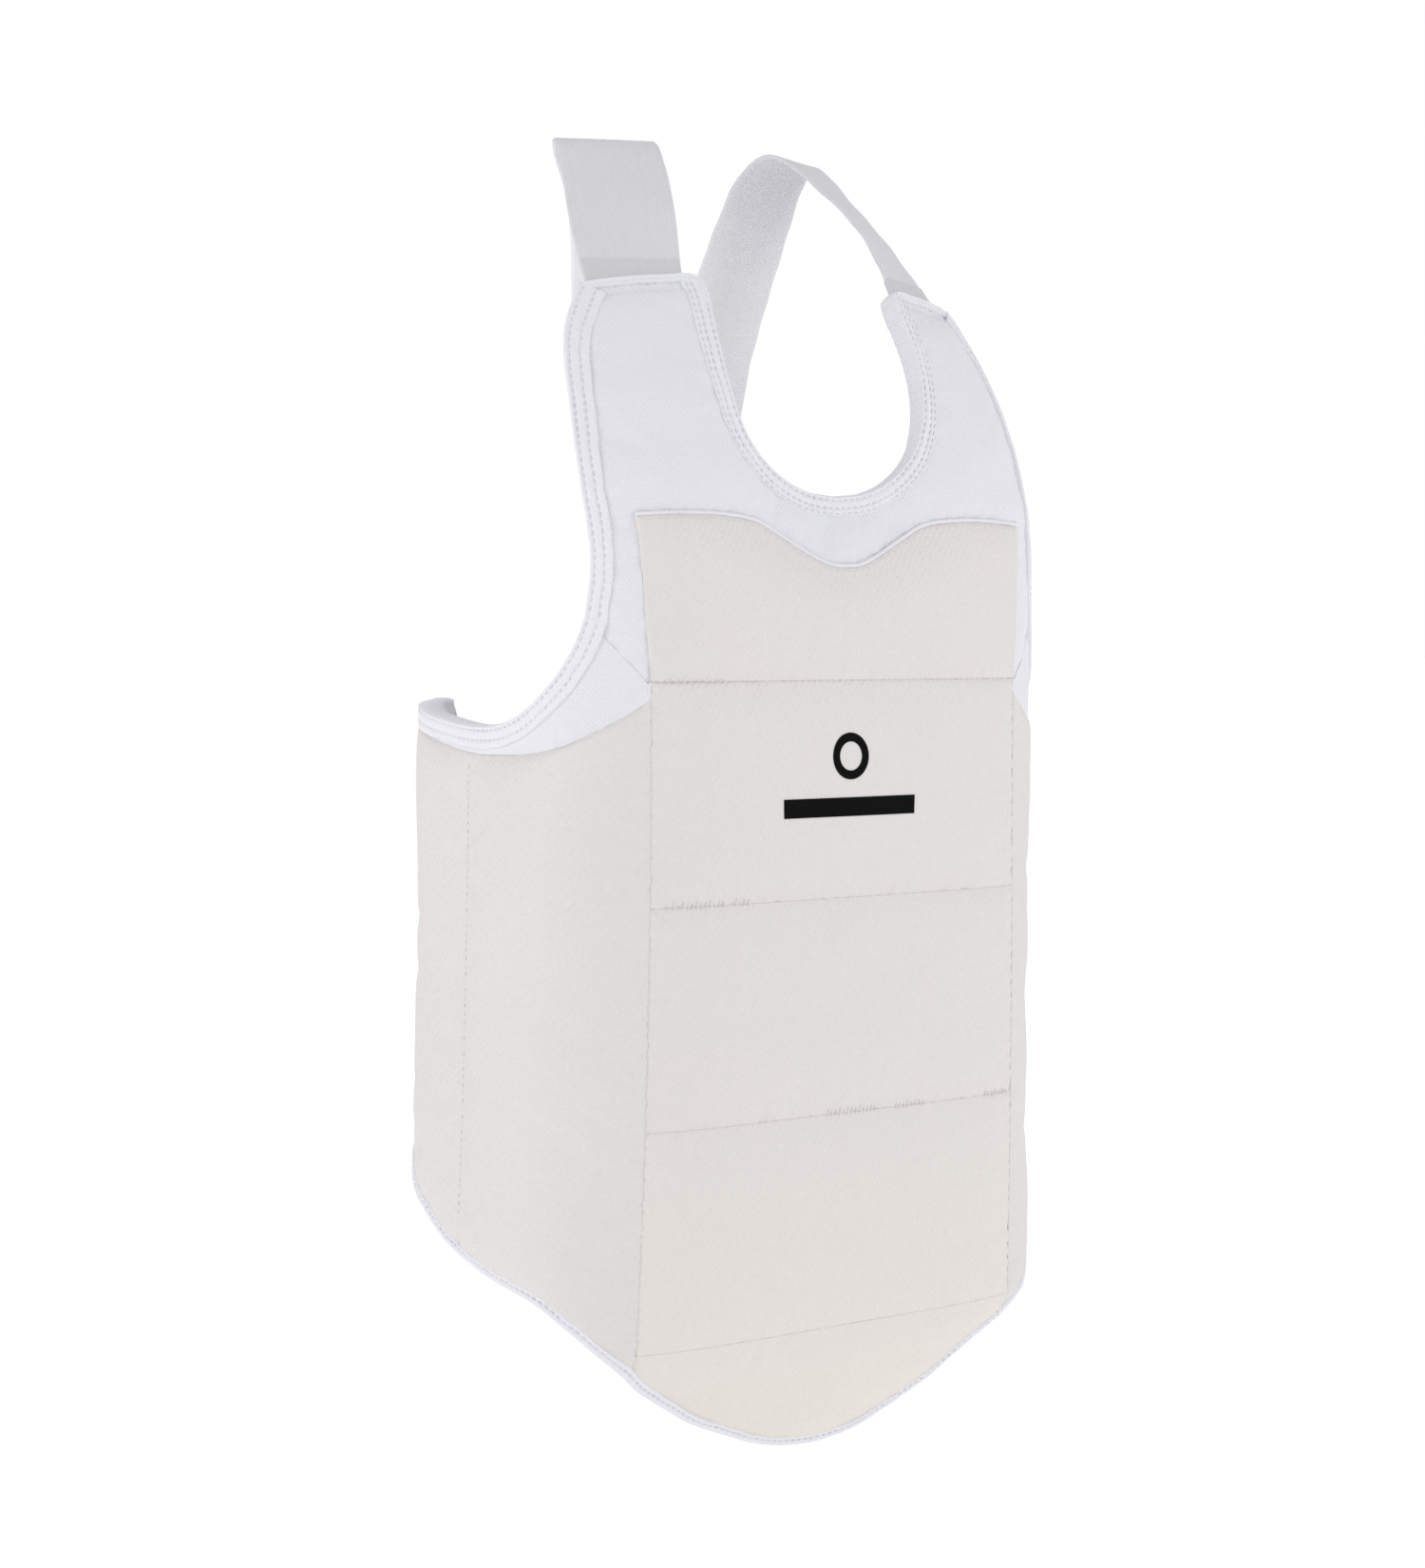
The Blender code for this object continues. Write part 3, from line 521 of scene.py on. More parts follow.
def pad(name, outline, material, far, face, step=0.0022, seams=(), sim=None):
    """Padded piece of cloth. One side follows the depth recipe face(flat, edge, seam, run),
    where run is measured along the nearest seam; the other lies at the depth far."""
    flat, tris, ring = fill(outline, step)
    edge, _ = reach(flat, ring)
    seam = np.full(len(flat), 1.0)
    run = np.zeros(len(flat))
    for i, path in enumerate(seams):
        distance, along = reach(flat, path)
        near = distance < seam
        seam = np.where(near, distance, seam)
        run = np.where(near, along + 0.37 * (i + 1), run)
    depth = face(flat, edge, seam, run)
    if sim is not None:
        held = np.minimum(edge, seam) < HELD
        lift = puff(name, flat, tris, depth, held, **sim)
        depth = depth - smooth_lift(lift, tris, 2, held)
    back = np.full(len(flat), far)
    fab = np.vstack((np.column_stack((flat, depth)), np.column_stack((flat, back))))
    PADS[name] = two_sided(name, wrap(*flat.T, depth), wrap(*flat.T, back), tris.tolist(), fab,
                           material)
    return PADS[name]


def drape(points, normals, names):
    """Points dropped onto the outside of the named pads, along their normals."""
    dropped = np.array(points, float)
    meshes = [PADS[name].data for name in names]
    trees = [BVHTree.FromPolygons([v.co for v in mesh.vertices],
                                  [p.vertices for p in mesh.polygons]) for mesh in meshes]
    for i, (point, out) in enumerate(zip(points, normals)):
        start = Vector(point) + Vector(out) * 0.02
        hits = [tree.ray_cast(start, -Vector(out), 0.035) for tree in trees]
        hits = [hit for hit in hits if hit[0] is not None]
        if hits:
            dropped[i] = min(hits, key=lambda hit: hit[3])[0]
    return dropped


# --------------------------------------------------------------------------
# Stitches
# --------------------------------------------------------------------------
STITCH_STEP = 0.0012
STITCH_SIDES = 6
# Share of the length; radius and height as shares of the thread's radius
STITCH_RINGS = ((0.0, 0.30, -0.9), (0.18, 0.85, 0.0), (0.5, 1.0, 0.35),
                (0.82, 0.85, 0.0), (1.0, 0.30, -0.9))
STITCH_RAISE = 0.15


class Stitches:
    """Rows of stitches gathered into one object."""

    def __init__(self):
        self.verts, self.faces = [], []

    def add(self, points, normals, radius=0.00030, length=0.0026, pitch=0.0036, lead=0.0015):
        """A row along a 3-D line with outward normals, starting at lead."""
        run = run_length(points)
        start = lead
        while start + length < run[-1] - 0.0008:
            a = sample(points, run, start)
            b = sample(points, run, start + length)
            out = unit(sample(normals, run, start + length / 2))
            self.stitch(a, b, out, radius)
            start += pitch

    def stitch(self, a, b, out, radius):
        side = unit(np.cross(out, unit(b - a)))
        base, sides = len(self.verts), STITCH_SIDES
        for share, thickness, height in STITCH_RINGS:
            centre = a + (b - a) * share + out * radius * (height + STITCH_RAISE)
            for i in range(sides):
                angle = 2 * math.pi * i / sides
                spoke = side * math.cos(angle) + out * math.sin(angle)
                self.verts.append(centre + spoke * radius * thickness)
        last = len(STITCH_RINGS) - 1
        for ring in range(base, base + last * sides, sides):
            for i in range(sides):
                j = (i + 1) % sides
                self.faces.append((ring + i, ring + sides + i, ring + sides + j, ring + j))
        self.faces.append(tuple(base + i for i in range(sides)))
        self.faces.append(tuple(base + last * sides + i for i in reversed(range(sides))))

    def sew(self, flat, depth, **sizes):
        """A row through (arc, z) points at a fixed depth."""
        self.add(wrap(*flat.T, depth), normal(*flat.T), **sizes)

    def sew_onto(self, flat, names, lift=0.0, **sizes):
        """A row through (arc, z) points, lying on the named pads."""
        normals = normal(*flat.T)
        self.add(drape(surf(*flat.T), normals, names) + normals * lift, normals, **sizes)

    def make(self, name, material):
        verts = np.array(self.verts)
        return mesh_object(name, verts, self.faces, verts, material, sharp=80)


# --------------------------------------------------------------------------
# Materials
# --------------------------------------------------------------------------
class Net:
    """Node tree of one material, drawn in the fab coordinates."""

    def __init__(self, name):
        self.mat = bpy.data.materials.new(name)
        self.mat.use_nodes = True
        self.tree = self.mat.node_tree
        self.tree.nodes.clear()
        self.out = self.node("ShaderNodeOutputMaterial")
        self.bsdf = self.node("ShaderNodeBsdfPrincipled")
        self.link(self.bsdf.outputs[0], self.out.inputs[0])
        self.fab = self.node("ShaderNodeAttribute", attribute_name="fab")

    def node(self, kind, **settings):
        node = self.tree.nodes.new(kind)
        for key, value in settings.items():
            setattr(node, key, value)
        return node

    def link(self, source, target):
        self.tree.links.new(source, target)

    def feed(self, value, socket):
        """Gives a socket a number, a colour or another node's output."""
        if isinstance(value, tuple):
            socket.default_value = (*value, 1.0)
        elif isinstance(value, (int, float)):
            socket.default_value = value
        else:
            self.link(value, socket)

    def texture(self, kind, scale, turn=0.0, settings=None, **inputs):
        """Texture node in scaled fab coordinates, turned by degrees about the third axis."""
        node = self.node(kind, **(settings or {}))
        node.inputs["Scale"].default_value = 1.0
        for key, value in inputs.items():
            node.inputs[key].default_value = value
        mapping = self.node("ShaderNodeMapping")
        mapping.inputs["Rotation"].default_value = (0, 0, math.radians(turn))
        mapping.inputs["Scale"].default_value = scale if isinstance(scale, tuple) else (scale,) * 3
        self.link(self.fab.outputs["Vector"], mapping.inputs["Vector"])
        self.link(mapping.outputs[0], node.inputs["Vector"])
        return node.outputs

    def noise(self, scale, detail=2.0, rough=0.5, turn=0.0):
        return self.texture("ShaderNodeTexNoise", scale, turn,
                            Detail=detail, Roughness=rough)["Fac"]

    def wave(self, per_metre, turn=0.0, distort=0.0):
        # one band per 2*pi/20 of the wave node's unit
        scale = per_metre * 2 * math.pi / 20.0
        bands = dict(wave_type="BANDS", bands_direction="X", wave_profile="SIN")
        return self.texture("ShaderNodeTexWave", scale, turn, bands,
                            Distortion=distort, Detail=1.0)["Fac"]

    def cells(self, scale, randomness):
        return self.texture("ShaderNodeTexVoronoi", scale, Randomness=randomness)["Distance"]

    def split(self):
        """The three fab coordinates."""
        node = self.node("ShaderNodeSeparateXYZ")
        self.link(self.fab.outputs["Vector"], node.inputs[0])
        return node.outputs

    def math(self, operation, a, b):
        node = self.node("ShaderNodeMath", operation=operation)
        self.feed(a, node.inputs[0])
        self.feed(b, node.inputs[1])
        return node.outputs[0]

    def add(self, a, b):
        return self.math("ADD", a, b)

    def times(self, a, b):
        return self.math("MULTIPLY", a, b)

    def mix(self, share, a, b):
        node = self.node("ShaderNodeMix", data_type="RGBA")
        for i, value in ((0, share), (6, a), (7, b)):
            self.feed(value, node.inputs[i])
        return node.outputs[2]

    def ramp(self, value, lo, hi):
        """0 to 1 as the value goes from lo to hi."""
        node = self.node("ShaderNodeMapRange")
        self.link(value, node.inputs["Value"])
        node.inputs["From Min"].default_value = lo
        node.inputs["From Max"].default_value = hi
        return node.outputs["Result"]

    def bump(self, height, distance, strength):
        node = self.node("ShaderNodeBump")
        node.inputs["Strength"].default_value = strength
        node.inputs["Distance"].default_value = distance
        self.link(height, node.inputs["Height"])
        self.link(node.outputs[0], self.bsdf.inputs["Normal"])

    def finish(self, colour, rough, spec, sheen=0.0):
        inputs = self.bsdf.inputs
        self.link(colour, inputs["Base Color"])
        self.feed(rough, inputs["Roughness"])
        inputs["Sheen Weight"].default_value = sheen
        inputs["Sheen Roughness"].default_value = 0.5
        inputs["Specular IOR Level"].default_value = spec
        return self.mat


def shade(tone, share):
    """A colour multiplied by one number or by one per channel."""
    return tuple(np.multiply(tone, share))


def leathercloth(name, tone, tint, low_tone=None):
    """Grained coated cloth; low_tone is its colour towards the tip."""
    net = Net(name)
    grain = net.noise(scale=(620, 980, 800), detail=2.5, rough=0.6, turn=35)
    pores = net.cells(scale=520, randomness=1.0)
    diagonal = net.wave(per_metre=360, turn=38, distort=1.6)
    broad = net.noise(scale=9, detail=3.0, rough=0.55)
    colour = net.mix(net.ramp(broad, lo=0.30, hi=0.70), tone, tint)
    if low_tone is not None:
        colour = net.mix(net.ramp(net.split()[1], lo=0.200, hi=0.010), colour, low_tone)
    pits = net.times(net.ramp(grain, lo=0.62, hi=0.40), 0.10)
    colour = net.mix(pits, colour, shade(tone, 0.72))
    height = net.add(net.times(grain, 0.55), net.times(pores, 0.55))
    height = net.add(height, net.times(diagonal, 0.30))
    net.bump(height, distance=0.00040, strength=0.80)
    rough = net.add(0.44, net.times(grain, 0.16))
    return net.finish(colour, rough, spec=0.45)


def woven(name, tone, pitch, turn, depth, rough, dark):
    """Crossed threads; dark is how far the gaps between them darken."""
    net = Net(name)
    warp = net.wave(per_metre=1.0 / pitch, turn=turn)
    weft = net.wave(per_metre=1.0 / pitch, turn=turn + 90)
    height = net.times(warp, weft)
    fuzz = net.noise(scale=1500)
    broad = net.noise(scale=14, detail=3.0)
    height = net.add(height, net.times(fuzz, 0.35))
    colour = net.mix(net.ramp(height, lo=0.10, hi=0.85), shade(tone, 1 - dark), tone)
    blotches = net.times(net.ramp(broad, lo=0.35, hi=0.7), 0.5)
    colour = net.mix(blotches, colour, shade(tone, (0.95, 0.95, 0.96)))
    net.bump(height, distance=depth, strength=0.8)
    return net.finish(colour, rough, spec=0.25, sheen=0.15)


def mesh_cloth(name, tone, pitch):
    """Cloth with a regular grid of small holes."""
    net = Net(name)
    solid = net.ramp(net.cells(scale=1.0 / pitch, randomness=0.0), lo=0.30, hi=0.52)
    fuzz = net.noise(scale=1600)
    holes = net.times(net.math("SUBTRACT", 1.0, solid), -0.8)
    height = net.add(holes, net.times(fuzz, 0.25))
    colour = net.mix(solid, shade(tone, (0.80, 0.80, 0.81)), tone)
    net.bump(height, distance=0.0003, strength=0.8)
    return net.finish(colour, rough=0.9, spec=0.2, sheen=0.15)


def elastic(name, tone, rib=0.0013, painted_light_tone=None, end_tone=None):
    """Ribbed webbing; painted_light_tone is a lighter colour painted on the band's outer face from
    about
    0.1 m along it onwards as painted light, and end_tone is the colour of its doubled lower end."""
    net = Net(name)
    ribs = net.wave(per_metre=1.0 / rib)
    picks = net.wave(per_metre=1.0 / 0.0011, turn=90, distort=0.6)
    fuzz = net.noise(scale=1300, detail=3.0)
    broad = net.noise(scale=(60, 14, 60), detail=3.0)
    height = net.add(net.times(ribs, 0.8), net.times(picks, 0.35))
    height = net.add(height, net.times(fuzz, 0.3))
    colour = net.mix(net.ramp(height, lo=0.15, hi=1.1), shade(tone, (0.90, 0.90, 0.91)), tone)
    mottle = net.times(net.ramp(broad, lo=0.3, hi=0.7), 0.36)
    colour = net.mix(mottle, colour, shade(tone, (0.93, 0.93, 0.94)))
    if painted_light_tone is not None:
        # painted light: a lighter tone on the band's outer face, ramped in from 0.10 to 0.19 m
        # along it, brightens the strap's rear length
        _, along, face = net.split()
        one_face = net.ramp(face, lo=0.0020, hi=0.0010)
        painted_light_share = net.times(net.ramp(along, lo=0.100, hi=0.190), one_face)
        colour = net.mix(painted_light_share, colour, painted_light_tone)
        near_share = net.ramp(along, lo=DOUBLED + 0.0004, hi=DOUBLED - 0.0004)
        colour = net.mix(near_share, colour, end_tone)
    net.bump(height, distance=0.00028, strength=0.7)
    return net.finish(colour, rough=0.78, spec=0.3, sheen=0.2)


def fuzzy(name, tone, scale):
    """Short pile."""
    net = Net(name)
    fine = net.noise(scale=scale, detail=4.0, rough=0.65)
    coarse = net.noise(scale=scale * 0.35)
    height = net.add(fine, net.times(coarse, 0.6))
    colour = net.mix(net.ramp(height, lo=0.6, hi=1.0), shade(tone, (0.84, 0.84, 0.85)), tone)
    net.bump(height, distance=0.0005, strength=0.9)
    return net.finish(colour, rough=0.95, spec=0.15, sheen=0.35)


def plain(name, tone, rough, spec=0.3):
    net = Net(name)
    mottle = net.times(net.noise(scale=1400), 0.12)
    return net.finish(net.mix(mottle, tone, shade(tone, 0.85)), rough, spec)


WEB_TONE = (0.742, 0.740, 0.776)
COVER = leathercloth("cover", tone=(0.740, 0.703, 0.694), tint=(0.726, 0.700, 0.692),
                     low_tone=(0.764, 0.722, 0.672))
WING_COVER = leathercloth("cover_side", tone=(0.728, 0.700, 0.688), tint=(0.712, 0.690, 0.682))
TEXTILE = woven("yoke_textile", tone=(0.800, 0.802, 0.846), pitch=0.0017, turn=45,
                depth=0.00022, rough=0.88, dark=0.07)
BINDING = woven("binding", tone=(0.830, 0.832, 0.878), pitch=0.0011, turn=30,
                depth=0.00016, rough=0.82, dark=0.07)
LINING = mesh_cloth("lining", tone=(0.790, 0.795, 0.835), pitch=0.0026)
ELASTIC = elastic("elastic", WEB_TONE)
# the shoulder elastic's lighter second tone is painted light on the strap's rear length
SHOULDER = elastic("shoulder_elastic", WEB_TONE, painted_light_tone=(0.905, 0.903, 0.930),
                   end_tone=(0.650, 0.652, 0.684))
BELT = elastic("belt_elastic", tone=(0.700, 0.700, 0.735), rib=0.0016)
LOOP = fuzzy("loop", tone=(0.760, 0.760, 0.790), scale=900)
THREAD = plain("thread", tone=(0.700, 0.700, 0.720), rough=0.65)
COVER_THREAD = plain("thread_cover", tone=(0.715, 0.690, 0.680), rough=0.65)
PRINT = plain("print", tone=(0.003, 0.003, 0.0033), rough=0.70, spec=0.06)

# --------------------------------------------------------------------------
# Outlines of the wearer's left half, as (arc, z)
# --------------------------------------------------------------------------


def panel_side(z):
    """Arc of the chest panel's side, which widens upwards."""
    return S_SEAM + 0.006 * min(1.0, max(0.0, (z - Z_SEAM[3]) / 0.073))


PANEL_TOP = spline([
    (0.0, 0.4046), (0.009, 0.4054), (0.020, 0.4096), (0.036, 0.4178), (0.050, 0.4242),
    (0.070, 0.4265), (0.092, 0.4265), (panel_side(0.425), 0.4255)])
NECK = spline([
    (0.0, 0.4368), (0.017, 0.4390), (0.032, 0.4455), (0.045, 0.4568), (0.0525, 0.4710),
    (0.0560, 0.4880), (0.0565, 0.5060), (0.0550, 0.5260)])
TAB_TOP = spline([
    (0.0550, 0.5260), (0.0590, 0.5355), (0.0830, 0.5340), (0.1060, 0.5310), (0.1145, 0.5230)])
TAB_HEM = spline([
    (0.0552, 0.5205), (0.0556, 0.5300), (0.0600, 0.5352), (0.0720, 0.5346), (0.0840, 0.5336),
    (0.0960, 0.5322), (0.1072, 0.5300), (0.1130, 0.5250), (0.1168, 0.5190)])
ARMHOLE = spline([
    (0.1145, 0.5230), (0.1238, 0.5080), (0.1302, 0.4890), (0.1352, 0.4600), (0.1360, 0.4350),
    (0.1342, 0.4050), (0.1370, 0.3820)])
ARMHOLE_LOW = spline([
    (0.1370, 0.3820), (0.1430, 0.3680), (0.1530, 0.3550), (0.1680, 0.3430), (0.1860, 0.3360),
    (0.2100, 0.3345), (0.2400, 0.3380), (0.2640, 0.3430), (0.2860, 0.3450)])
WING_TOP = spline([
    (S_SEAM, 0.3460), (0.1200, 0.3385), (0.1330, 0.3320), (0.1480, 0.3260), (0.1660, 0.3225),
    (0.1860, 0.3215), (0.2100, 0.3215), (0.2400, 0.3260), (0.2640, 0.3330), (0.2860, 0.3420)])
WING_REAR = spline([
    (0.2860, 0.3450), (0.2940, 0.3300), (0.3100, 0.2850), (0.3240, 0.2600), (0.3260, 0.2300),
    (0.3240, 0.2000), (0.3110, 0.1700), (0.2900, 0.1480)])
WING_LOW = spline([
    (0.2900, 0.1480), (0.2700, 0.1310), (0.2500, 0.1140), (0.2250, 0.0985), (0.1950, 0.0895),
    (0.1590, 0.0820), (0.1396, 0.0717), (0.1247, 0.0602), (S_SEAM, 0.0465)])
TIP_EDGE = spline([
    (S_SEAM, 0.0462), (0.0985, 0.0395), (0.0835, 0.0298), (0.0675, 0.0200), (0.0445, 0.0100),
    (0.0305, 0.0048), (0.0150, 0.0012), (0.0, 0.0)])
# Cut between the yoke and the wing, from the corner seam to the armhole
CUT_FRONT, CUT_ARM = (S_SEAM + 0.0012, 0.3530), (0.1370, 0.3820)
YOKE_CORNER = (S_SEAM, 0.3545)
ARM_CORNER = (CUT_ARM[0] - 0.0026, CUT_ARM[1] - 0.0020)


def tab_line(sign, drop):
    """Line across a shoulder tab, below its top."""
    return np.array([(sign * arc, z - drop) for arc, z in TAB_TOP if 0.0600 < arc < 0.1085])


# --------------------------------------------------------------------------
# Depth recipes
# --------------------------------------------------------------------------
SEAM_WIDTH = 0.0012
SWELL = 0.022                # distance over which the filling swells from a seam
PUCKER = 0.00042
ROLL_WIDTH = 0.0016          # of the rolled-in edge
DRIFT = 0.00045


def cover_face(seed, crown=0.0009, base=0.0002, roll=0.0010):
    """Quilted cover: sunk seams, swollen between them, gathered along them."""
    def depth_of(flat, edge, seam, run):
        # the corner seams are the deepest, the cross seams fade towards the tip
        level = np.abs(flat[:, 1][:, None] - np.array(Z_SEAM)[None, :])
        cross = CROSS_SEAM_DEPTH[np.argmin(level, axis=1)]
        at_corner = np.abs(np.abs(flat[:, 0]) - S_SEAM) < level.min(axis=1)
        deep = np.where(at_corner, CORNER_SEAM_DEPTH, cross)
        width = np.where(deep < 0.0006, SEAM_WIDTH * 1.6, SEAM_WIDTH)
        depth = base + deep * bell(seam, width, 1.25)
        depth -= crown * (1.0 - fade(seam, SWELL)) * (1.0 - fade(edge, 0.006))
        # short gathers across the seam, stronger in places, then long ones
        size = PUCKER * fade(seam, 0.0060) * (0.25 + 0.75 * patchy(run, 0.05, seed))
        size = size * np.clip(deep / 0.0005, 0.25, 1.0)
        depth += size * gathers(run, pitch=0.0066, sway=1.8, sway_length=0.03, seed=seed + 5)
        size = 0.8 * PUCKER * fade(seam, 0.016) * patchy(run, 0.07, seed + 9)
        depth += size * gathers(run, pitch=0.0171, sway=2.0, sway_length=0.08, seed=seed + 6)
        # free edges roll in
        depth += (roll * np.clip(1.0 - edge / ROLL_WIDTH, 0, 1) ** 2
                  * np.clip((seam - 0.0015) / 0.003, 0, 1))
        depth -= DRIFT * wander(*flat.T, size=0.075, seed=seed) * (1.0 - fade(seam, 0.012))
        return depth
    return depth_of


def lining_face(seed, base=0.0102, crown=0.0014):
    """Inner face: drawn outwards at the seams, swollen inwards between them."""
    def depth_of(flat, edge, seam, run):
        depth = base - 0.0018 * bell(seam, 0.0022, 1.25)
        depth += crown * (1.0 - fade(seam, 0.016)) * (1.0 - fade(edge, 0.006))
        size = 0.0003 * fade(seam, 0.008) * patchy(run, 0.05, seed)
        depth += size * gathers(run, pitch=0.0071, sway=1.8, sway_length=0.03, seed=seed + 5)
        depth += 0.0003 * wander(*flat.T, size=0.05, seed=seed)
        return depth
    return depth_of


def textile_face(seed, base=0.0012, crown=0.0012, drift=0.00065):
    """Soft woven cloth: slightly crowned, with broad waves and fine ones at the edge."""
    def depth_of(flat, edge, seam, run):
        depth = base - crown * (1.0 - fade(edge, 0.010))
        depth -= drift * wander(*flat.T, size=0.040, seed=seed) * (1.0 - fade(edge, 0.008))
        depth += 0.00028 * fade(edge, 0.010) * wander(*flat.T, size=0.011, seed=seed + 2)
        depth += 0.0006 * bell(seam, 0.0016, 1.3)
        return depth
    return depth_of


def wing_face(sign):
    """Cover of a side wing, with a shallow sewn line down the flank."""
    cover = cover_face(seed=81 + sign, crown=0.0010, base=0.0001)

    def depth_of(flat, edge, seam, run):
        arc, z = np.abs(flat[:, 0]), flat[:, 1]
        depth = cover(flat, edge, np.abs(arc - S_SEAM), z)
        to_line = np.abs(arc - S_STITCH)
        depth += 0.0005 * bell(to_line, 0.0013, 1.3)
        # topstitched seam allowance beside the corner seam, fading out upwards
        groove = bell(np.abs(arc - (S_SEAM + 0.0029)), 0.0008, 2)
        depth += 0.00034 * groove * np.clip((0.200 - z) / 0.09, 0.15, 1.0)
        depth += 0.00018 * fade(to_line, 0.006) * np.sin(2 * math.pi * z / 0.0058)
        return depth
    return depth_of


def loop_face(flat, edge, seam, run):
    """Pile standing off the surface, lower round its edge."""
    return (-0.00135 + 0.0008 * np.clip(1 - edge / 0.0012, 0, 1) ** 2
            - 0.00012 * wander(*flat.T, size=0.004, seed=5))


# --------------------------------------------------------------------------
# How pieces follow the frame's parts
# --------------------------------------------------------------------------
def assign(obj, hold, slot, *replaced):
    """hold is the part the piece rides on, or a function called on the piece instead."""
    if callable(hold):
        hold(obj)
    else:
        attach(obj, hold)
    if replaced:
        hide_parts(*replaced)


def blend(first, second, start, end):
    start, end = tuple(start), tuple(end)
    return lambda obj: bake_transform(obj)


def edge_axis(sign):
    """Where cloth turns from the front to a side wing: a line just outside the seam."""
    across = surf(sign * (S_SEAM + 0.004), 0.2) - surf(sign * (S_SEAM - 0.004), 0.2)
    across /= np.linalg.norm(across)
    across *= 1.0 if across[0] * sign > 0 else -1.0
    seam = surf(np.full(60, sign * S_SEAM), np.linspace(0.055, 0.36, 60))
    start = seam[0] + across * float(np.max((seam - seam[0]) @ across))
    return start, start + across * 0.014


def fold_axis(sign):
    """Where the textile turns from the yoke to the wing, below the armhole."""
    start = surf(sign * CUT_FRONT[0], CUT_FRONT[1])
    end = surf(sign * CUT_ARM[0], CUT_ARM[1])
    across = np.cross(normal(np.array([sign * 0.122]), np.array([0.367]))[0], end - start)
    across /= np.linalg.norm(across)
    if across[2] > 0:
        across = -across
    return start, start + across * 0.030


TIP_TURN = blend("front", "tip_flap", (0.0, -0.0764, 0.0520), (0.0, -0.0764, 0.0290))
WING_TURN = {side: blend("front", "wing_" + side, *edge_axis(sign)) for side, sign in SIDES}
FOLD_TURN = {side: blend("front", "wing_" + side, *fold_axis(sign)) for side, sign in SIDES}

# --------------------------------------------------------------------------
# Front: four quilted leathercloth panels over one lining
# --------------------------------------------------------------------------
CORNER_SEAMS = [line((sign * S_SEAM, 0.045), (sign * S_SEAM, 0.36), 90) for _, sign in SIDES]
CROSS_SEAMS = [line((-S_SEAM, z), (S_SEAM, z), 80) for z in Z_SEAM]

for i, level in enumerate(("lower", "middle", "upper")):
    low, top = Z_SEAM[i] + GAP, Z_SEAM[i + 1] - GAP
    panel = pad(level + "_pad",
                [(-PANEL_HALF, low), (PANEL_HALF, low), (PANEL_HALF, top), (-PANEL_HALF, top)],
                COVER, COVER_BACK, cover_face(seed=3 * i),
                seams=CROSS_SEAMS[i:i + 2] + CORNER_SEAMS, sim=QUILT_PUFF)
    assign(panel, "front", "cover", level + "_panel", level + "_foam")

chest_half = [(0.0, Z_SEAM[3] + GAP), (PANEL_HALF, Z_SEAM[3] + GAP), (panel_side(0.39), 0.39),
              *PANEL_TOP[::-1]]
chest_corners = [line((sign * S_SEAM, 0.350), (sign * S_SEAM, 0.358), 6) for _, sign in SIDES]
chest = pad("chest_pad", whole(chest_half), COVER, COVER_BACK,
            cover_face(seed=21, base=-0.0004, roll=0.0012),
            seams=[CROSS_SEAMS[3]] + chest_corners, sim=QUILT_PUFF)
assign(chest, "front", "cover", "chest_panel", "chest_foam")

# quilted through along the same seams
inside_half = [(0.0, Z_SEAM[0] + GAP), (PANEL_HALF, Z_SEAM[0] + GAP), (PANEL_HALF, Z_SEAM[3]),
               (panel_side(0.42), 0.4255), *PANEL_TOP[-2::-1]]
front_inside = pad("front_inside", whole(inside_half), LINING, COVER_BACK, lining_face(seed=31),
                   step=LINING_STEP, seams=CROSS_SEAMS + CORNER_SEAMS)
assign(front_inside, "front", "lining", "front_lining")


# --------------------------------------------------------------------------
# Yoke
# --------------------------------------------------------------------------
def yoke_outline():
    arm = moved(ARMHOLE, -0.0030)[::-1]
    arm[0] = ARM_CORNER
    tab = [(arc, z - 0.0012) for arc, z in TAB_TOP[::-1] if 0.0585 < arc < 0.1110]
    neck = moved(NECK, -0.0030)[::-1][1:]
    return whole([*PANEL_TOP[:-1], (panel_side(0.425), 0.4255), (panel_side(0.39), 0.39),
                  YOKE_CORNER, CUT_FRONT, *arm, *tab, *neck[neck[:, 0] > 0.0005],
                  (0.0, 0.4338)])


yoke = pad("yoke", yoke_outline(), TEXTILE, YOKE_BACK, textile_face(seed=41),
           seams=[tab_line(sign, 0.0060) for _, sign in SIDES], sim=YOKE_PUFF)
assign(yoke, "front", "textile", "yoke_cover", "yoke_foam")
yoke_inside = pad("yoke_inside", yoke_outline(), LINING, YOKE_BACK,
                  lining_face(seed=51, base=0.0068, crown=0.0008), step=LINING_STEP)
assign(yoke_inside, "front", "lining", "yoke_lining")

# --------------------------------------------------------------------------
# Tip
# --------------------------------------------------------------------------
tip_in = moved(TIP_EDGE, -0.0032)
tip_curve = [point for point in tip_in if 0.0008 < point[0] < PANEL_HALF - 0.0015]
tip_outline = whole([(0.0, Z_TIP - GAP), (PANEL_HALF, Z_TIP - GAP),
                     (PANEL_HALF, height_at(tip_in, PANEL_HALF)), *tip_curve, (0.0, 0.0032)])
tip = pad("tip_pad", tip_outline, COVER, COVER_BACK, cover_face(seed=61),
          seams=[CROSS_SEAMS[0]] + CORNER_SEAMS, sim=QUILT_PUFF)
assign(tip, TIP_TURN, "cover", "tip_cover", "tip_foam")
tip_inside = pad("tip_inside", tip_outline, LINING, COVER_BACK, lining_face(seed=71),
                 step=LINING_STEP, seams=[CROSS_SEAMS[0]])
assign(tip_inside, TIP_TURN, "lining", "tip_lining")

